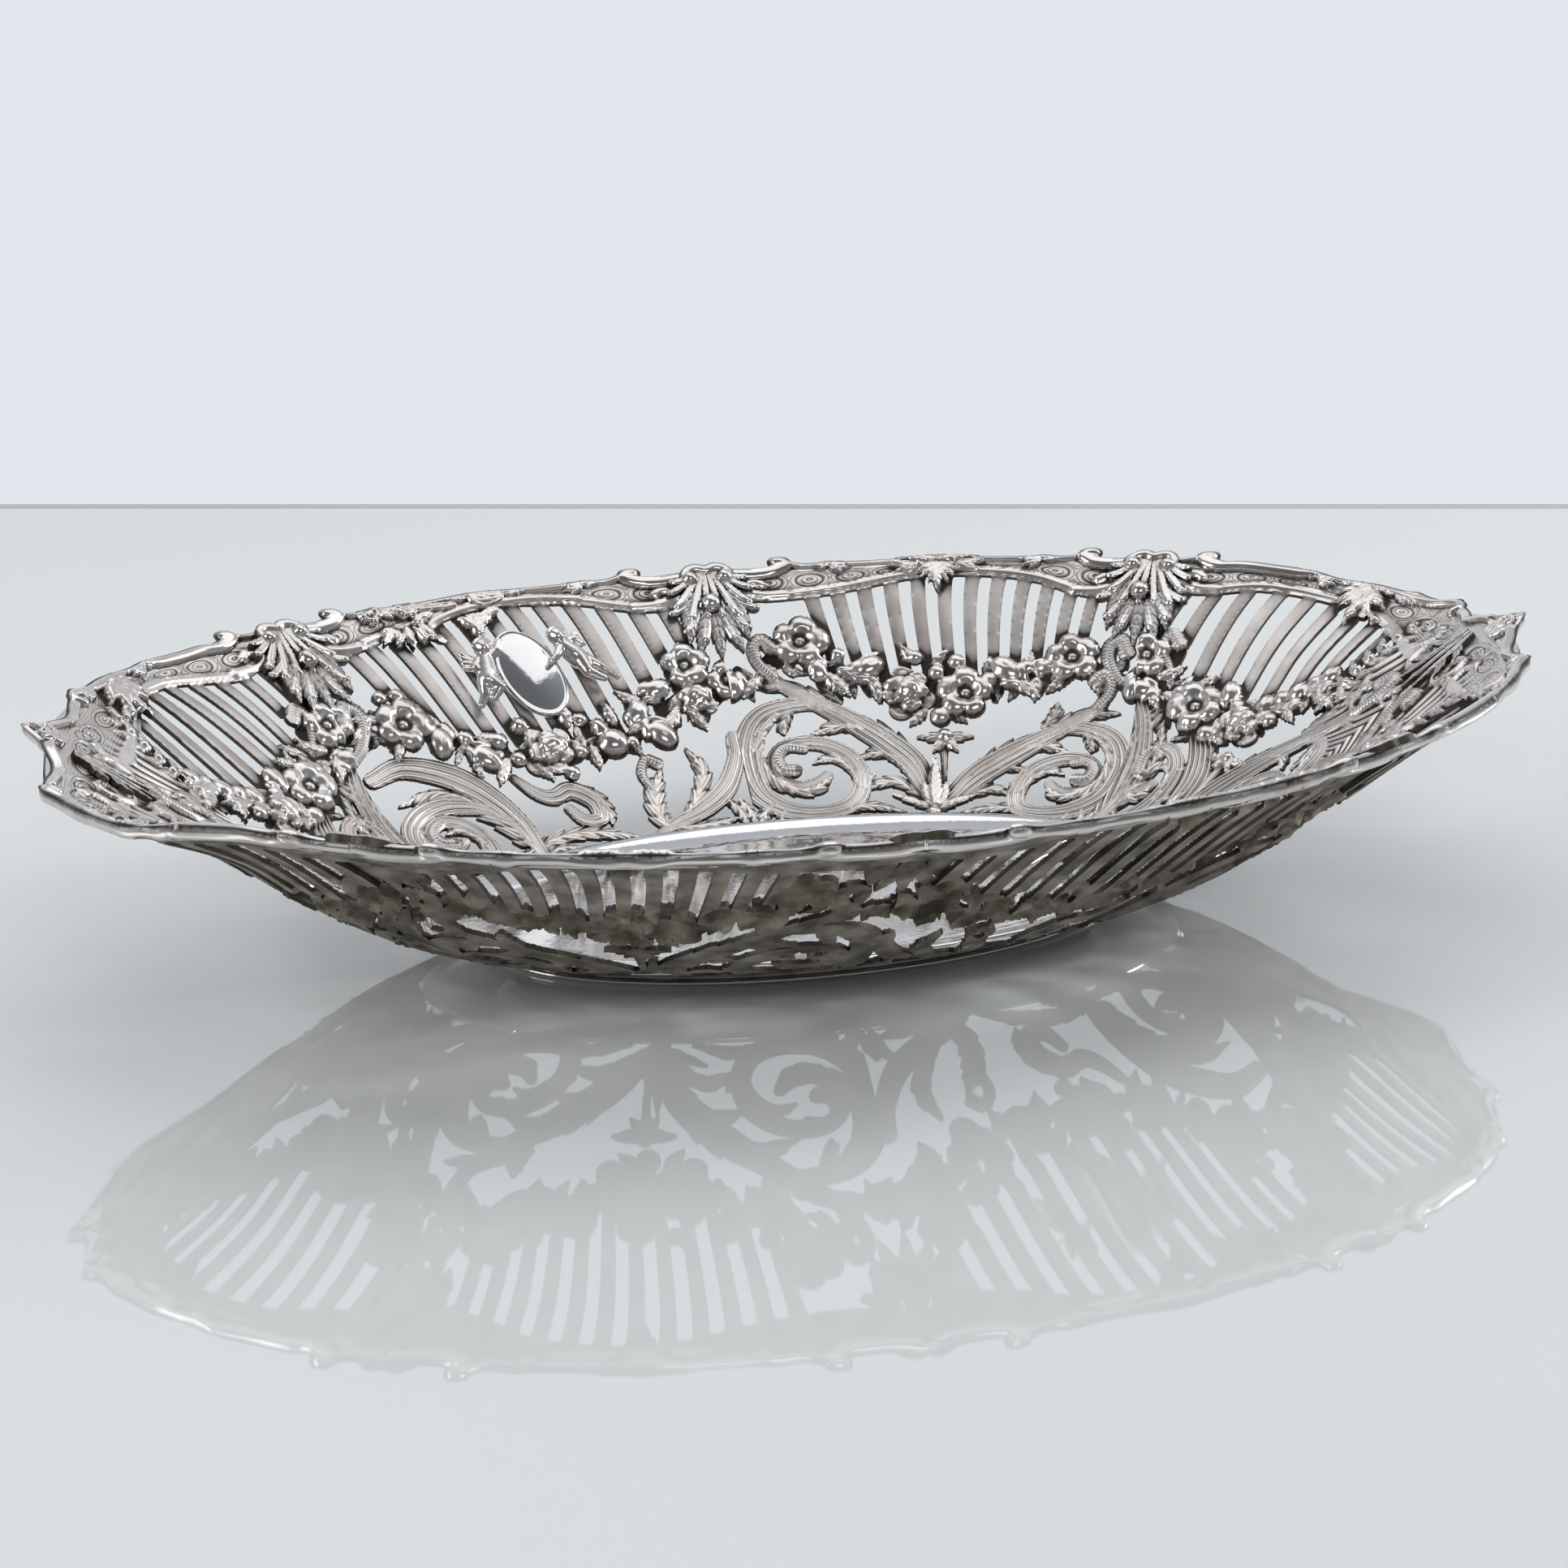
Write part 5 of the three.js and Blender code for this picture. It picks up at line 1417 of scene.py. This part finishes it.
def figure_blobs(figure, at):
    """The balls of a figure's head, hair curls, limbs and wing, as (centre, radius)."""
    blobs = []

    def limb(p, q, thick, thin, steps=9):
        for f in np.linspace(0, 1, steps):
            blobs.append((p.lerp(q, f), 1.2 * (thick + (thin - thick) * f) * MM))

    hx, hy, hz, size = figure["head"]
    blobs.append((at(hx, hy, hz), size * MM))
    blobs.append((at(hx - 0.1, hy - 0.7, hz + 0.7), size * 0.72 * MM))
    blobs.append((at(hx - 0.1, hy - 0.35, hz + size), 0.34 * MM))
    for k in range(9):
        turn = 0.35 * k + 0.15
        blobs.append((at(hx + size * 0.92 * math.cos(turn), hy + size * 0.92 * math.sin(turn), hz + 0.4),
                      0.62 * MM))
    for p, q, thick, thin in figure["limbs"]:
        limb(at(*p), at(*q), thick, thin)
        blobs.append((at(*q), thin * 1.15 * MM))
    root, end = figure["wing"]
    for k in range(4):
        drop = 1.15 * k
        limb(at(root[0], root[1] - 0.5 * k, root[2]), at(end[0], end[1] - drop, end[2]), 0.8, 0.6, 8)
    return blobs


def melted(name, blobs):
    """One smooth skin round a heap of balls."""
    bm = bmesh.new()
    for centre, radius in blobs:
        bmesh.ops.create_icosphere(bm, subdivisions=2, radius=radius, matrix=Matrix.Translation(centre))
    mesh = bpy.data.meshes.new(name)
    bm.to_mesh(mesh)
    bm.free()
    ob = bpy.data.objects.new(name, mesh)
    bpy.context.scene.collection.objects.link(ob)
    melt = ob.modifiers.new("melt", "REMESH")
    melt.mode = "VOXEL"
    melt.voxel_size = 0.22 * MM
    soft = ob.modifiers.new("soft", "SMOOTH")
    soft.factor = 0.5
    soft.iterations = 5
    done = bpy.data.meshes.new_from_object(ob.evaluated_get(bpy.context.evaluated_depsgraph_get()))
    ob.modifiers.clear()
    ob.data = done
    done.shade_smooth()
    return ob


def figure_piece(name, left, figure):
    """A small winged child with a plain face, darker where it meets the wall: oxide and painted shade."""
    o, a, b, n = medal_frame(left)

    def at(x, y, z=0.0):
        return Vector((o + a * x + b * y + n * (3.0 + z)) * MM)

    ob = melted(name, figure_blobs(figure, at))
    done = ob.data
    layer = done.attributes.new("patina_and_shade", "FLOAT_COLOR", "POINT")
    count = len(done.vertices)
    co = np.zeros(count * 3)
    done.vertices.foreach_get("co", co)
    high = (co.reshape(-1, 3) / MM - o) @ n
    values = np.zeros((count, 4))
    # the lower part, near the wall, is darkened: oxide and painted shade
    values[:, 0] = np.clip((2.9 - high) / 2.2, 0, 1)
    values[:, 2] = 0.4
    layer.data.foreach_set("color", values.ravel())
    return ob


piece = medallion_piece("medallion_look_back_left", True)
dress_pair(piece, "medallion", "back_left", bright)
for label, figure in (("inner", RECLINER), ("outer", KNEELER)):
    piece = figure_piece(f"putto_{label}_look_back_left", True, figure)
    dress_pair(piece, f"putto_{label}", "back_left", cast)


# Camera
turn = math.radians(12.84)
pitch = math.radians(18.70)
roll = math.radians(-1.11)
focal = 4448
half_image = 966
camera_spot = Vector((-0.0038, -0.6818, 0.2605))
unturn = Matrix.Rotation(-turn, 4, "Z")
camera_data = bpy.data.cameras.new("camera")
camera_data.sensor_width = 36
camera_data.lens = focal / (2 * half_image) * camera_data.sensor_width
camera = bpy.data.objects.new("camera", camera_data)
bpy.context.scene.collection.objects.link(camera)
bpy.context.scene.camera = camera
aim = Matrix.Rotation(math.pi / 2 - pitch, 4, "X") @ Matrix.Rotation(roll, 4, "Z")
camera.matrix_world = unturn @ Matrix.Translation(camera_spot) @ aim


# Table, backdrop and light
def table_point(px, py):
    """Where the camera sees the table at a pixel of the picture."""
    ray = Vector(((px - half_image) / focal, (half_image - py) / focal, -1))
    ray = camera.matrix_world.to_3x3() @ ray
    start = camera.matrix_world.translation
    return start - ray * (start.z / ray.z)


EDGE_ROW = 627
left_end, right_end = table_point(100, EDGE_ROW), table_point(1832, EDGE_ROW)
back = (right_end - left_end).normalized()
inward = Vector((back.y, -back.x, 0))
middle = (left_end + right_end) / 2


def strip(name, near, far, half_width, z):
    """A flat piece parallel to the table's back edge, between two distances in front of it."""
    mesh = bpy.data.meshes.new(name)
    corners = [middle + back * x + inward * y for x, y in
               ((-half_width, near), (half_width, near), (half_width, far), (-half_width, far))]
    mesh.from_pydata([(c.x, c.y, z) for c in corners], [], [(0, 1, 2, 3)])
    mesh.update()
    ob = bpy.data.objects.new(name, mesh)
    bpy.context.scene.collection.objects.link(ob)
    return ob


def glass(name, colour, roughness, ior):
    """A smooth material that isn't metal."""
    m = bpy.data.materials.new(name)
    m.use_nodes = True
    b = m.node_tree.nodes["Principled BSDF"]
    b.inputs["Base Color"].default_value = (*colour, 1)
    b.inputs["Roughness"].default_value = roughness
    b.inputs["IOR"].default_value = ior
    return m


TABLE_DEPTH = 1.6
TABLE_HALF = 1.3
floor = strip("table", TABLE_DEPTH, 0.0, TABLE_HALF, 0.0)
floor.data.materials.append(glass("table glass", (0.86, 0.885, 0.88), 0.03, 2.0))
edge = strip("table edge", 0.0, -0.006, TABLE_HALF, -0.0001)
edge.data.materials.append(glass("table edge glass", (0.50, 0.53, 0.53), 0.2, 1.5))

# World: darker behind the camera than in front of it, and a little darker overhead
world = bpy.data.worlds.new("studio")
bpy.context.scene.world = world
tree = Tree(world)
coord = tree.nodes.new("ShaderNodeTexCoord")
facing = tree.nodes.new("ShaderNodeVectorRotate")
facing.rotation_type = "Z_AXIS"
facing.inputs["Angle"].default_value = turn
tree.feed(facing.inputs["Vector"], coord.outputs["Generated"])
split = tree.nodes.new("ShaderNodeSeparateXYZ")
tree.feed(split.inputs[0], facing.outputs["Vector"])


def cool_greys(stops):
    return [(at, (level * 0.98, level, level * 1.03)) for at, level in stops]


depth = tree.nodes.new("ShaderNodeMapRange")
depth.inputs["From Min"].default_value = -1.0
tree.feed(depth.inputs["Value"], split.outputs["Y"])
by_depth = cool_greys(((0.0, 0.14), (0.35, 0.22), (0.62, 0.44), (0.80, 0.70), (0.93, 0.80), (1.0, 0.80)))
by_height = cool_greys(((0.0, 1.0), (0.30, 1.0), (0.62, 0.75), (1.0, 0.75)))
level = tree.ramp(depth.outputs["Result"], by_depth)
high = tree.ramp(split.outputs["Z"], by_height)
tree.feed(tree.nodes["Background"].inputs["Color"], tree.mix(1.0, level, high, "MULTIPLY"))


def softbox(name, at, size, power):
    """A rectangular lamp that faces the bowl."""
    data = bpy.data.lights.new(name, "AREA")
    data.shape = "RECTANGLE"
    data.size, data.size_y = size
    data.energy = power
    ob = bpy.data.objects.new(name, data)
    ob.location = at
    ob.rotation_euler = (Vector((0, 0, 0.02)) - Vector(at)).to_track_quat("-Z", "Y").to_euler()
    bpy.context.scene.collection.objects.link(ob)


softbox("top", (0.15, 0.25, 1.0), (1.4, 0.8), 3.3)
softbox("left", (-0.95, -0.2, 0.55), (0.35, 0.7), 3.5)
softbox("right", (0.95, 0.15, 0.5), (0.25, 0.6), 2.5)
softbox("front", (0.1, -1.0, 0.75), (0.6, 0.25), 2.0)

scene = bpy.context.scene
scene.view_settings.view_transform = "Standard"
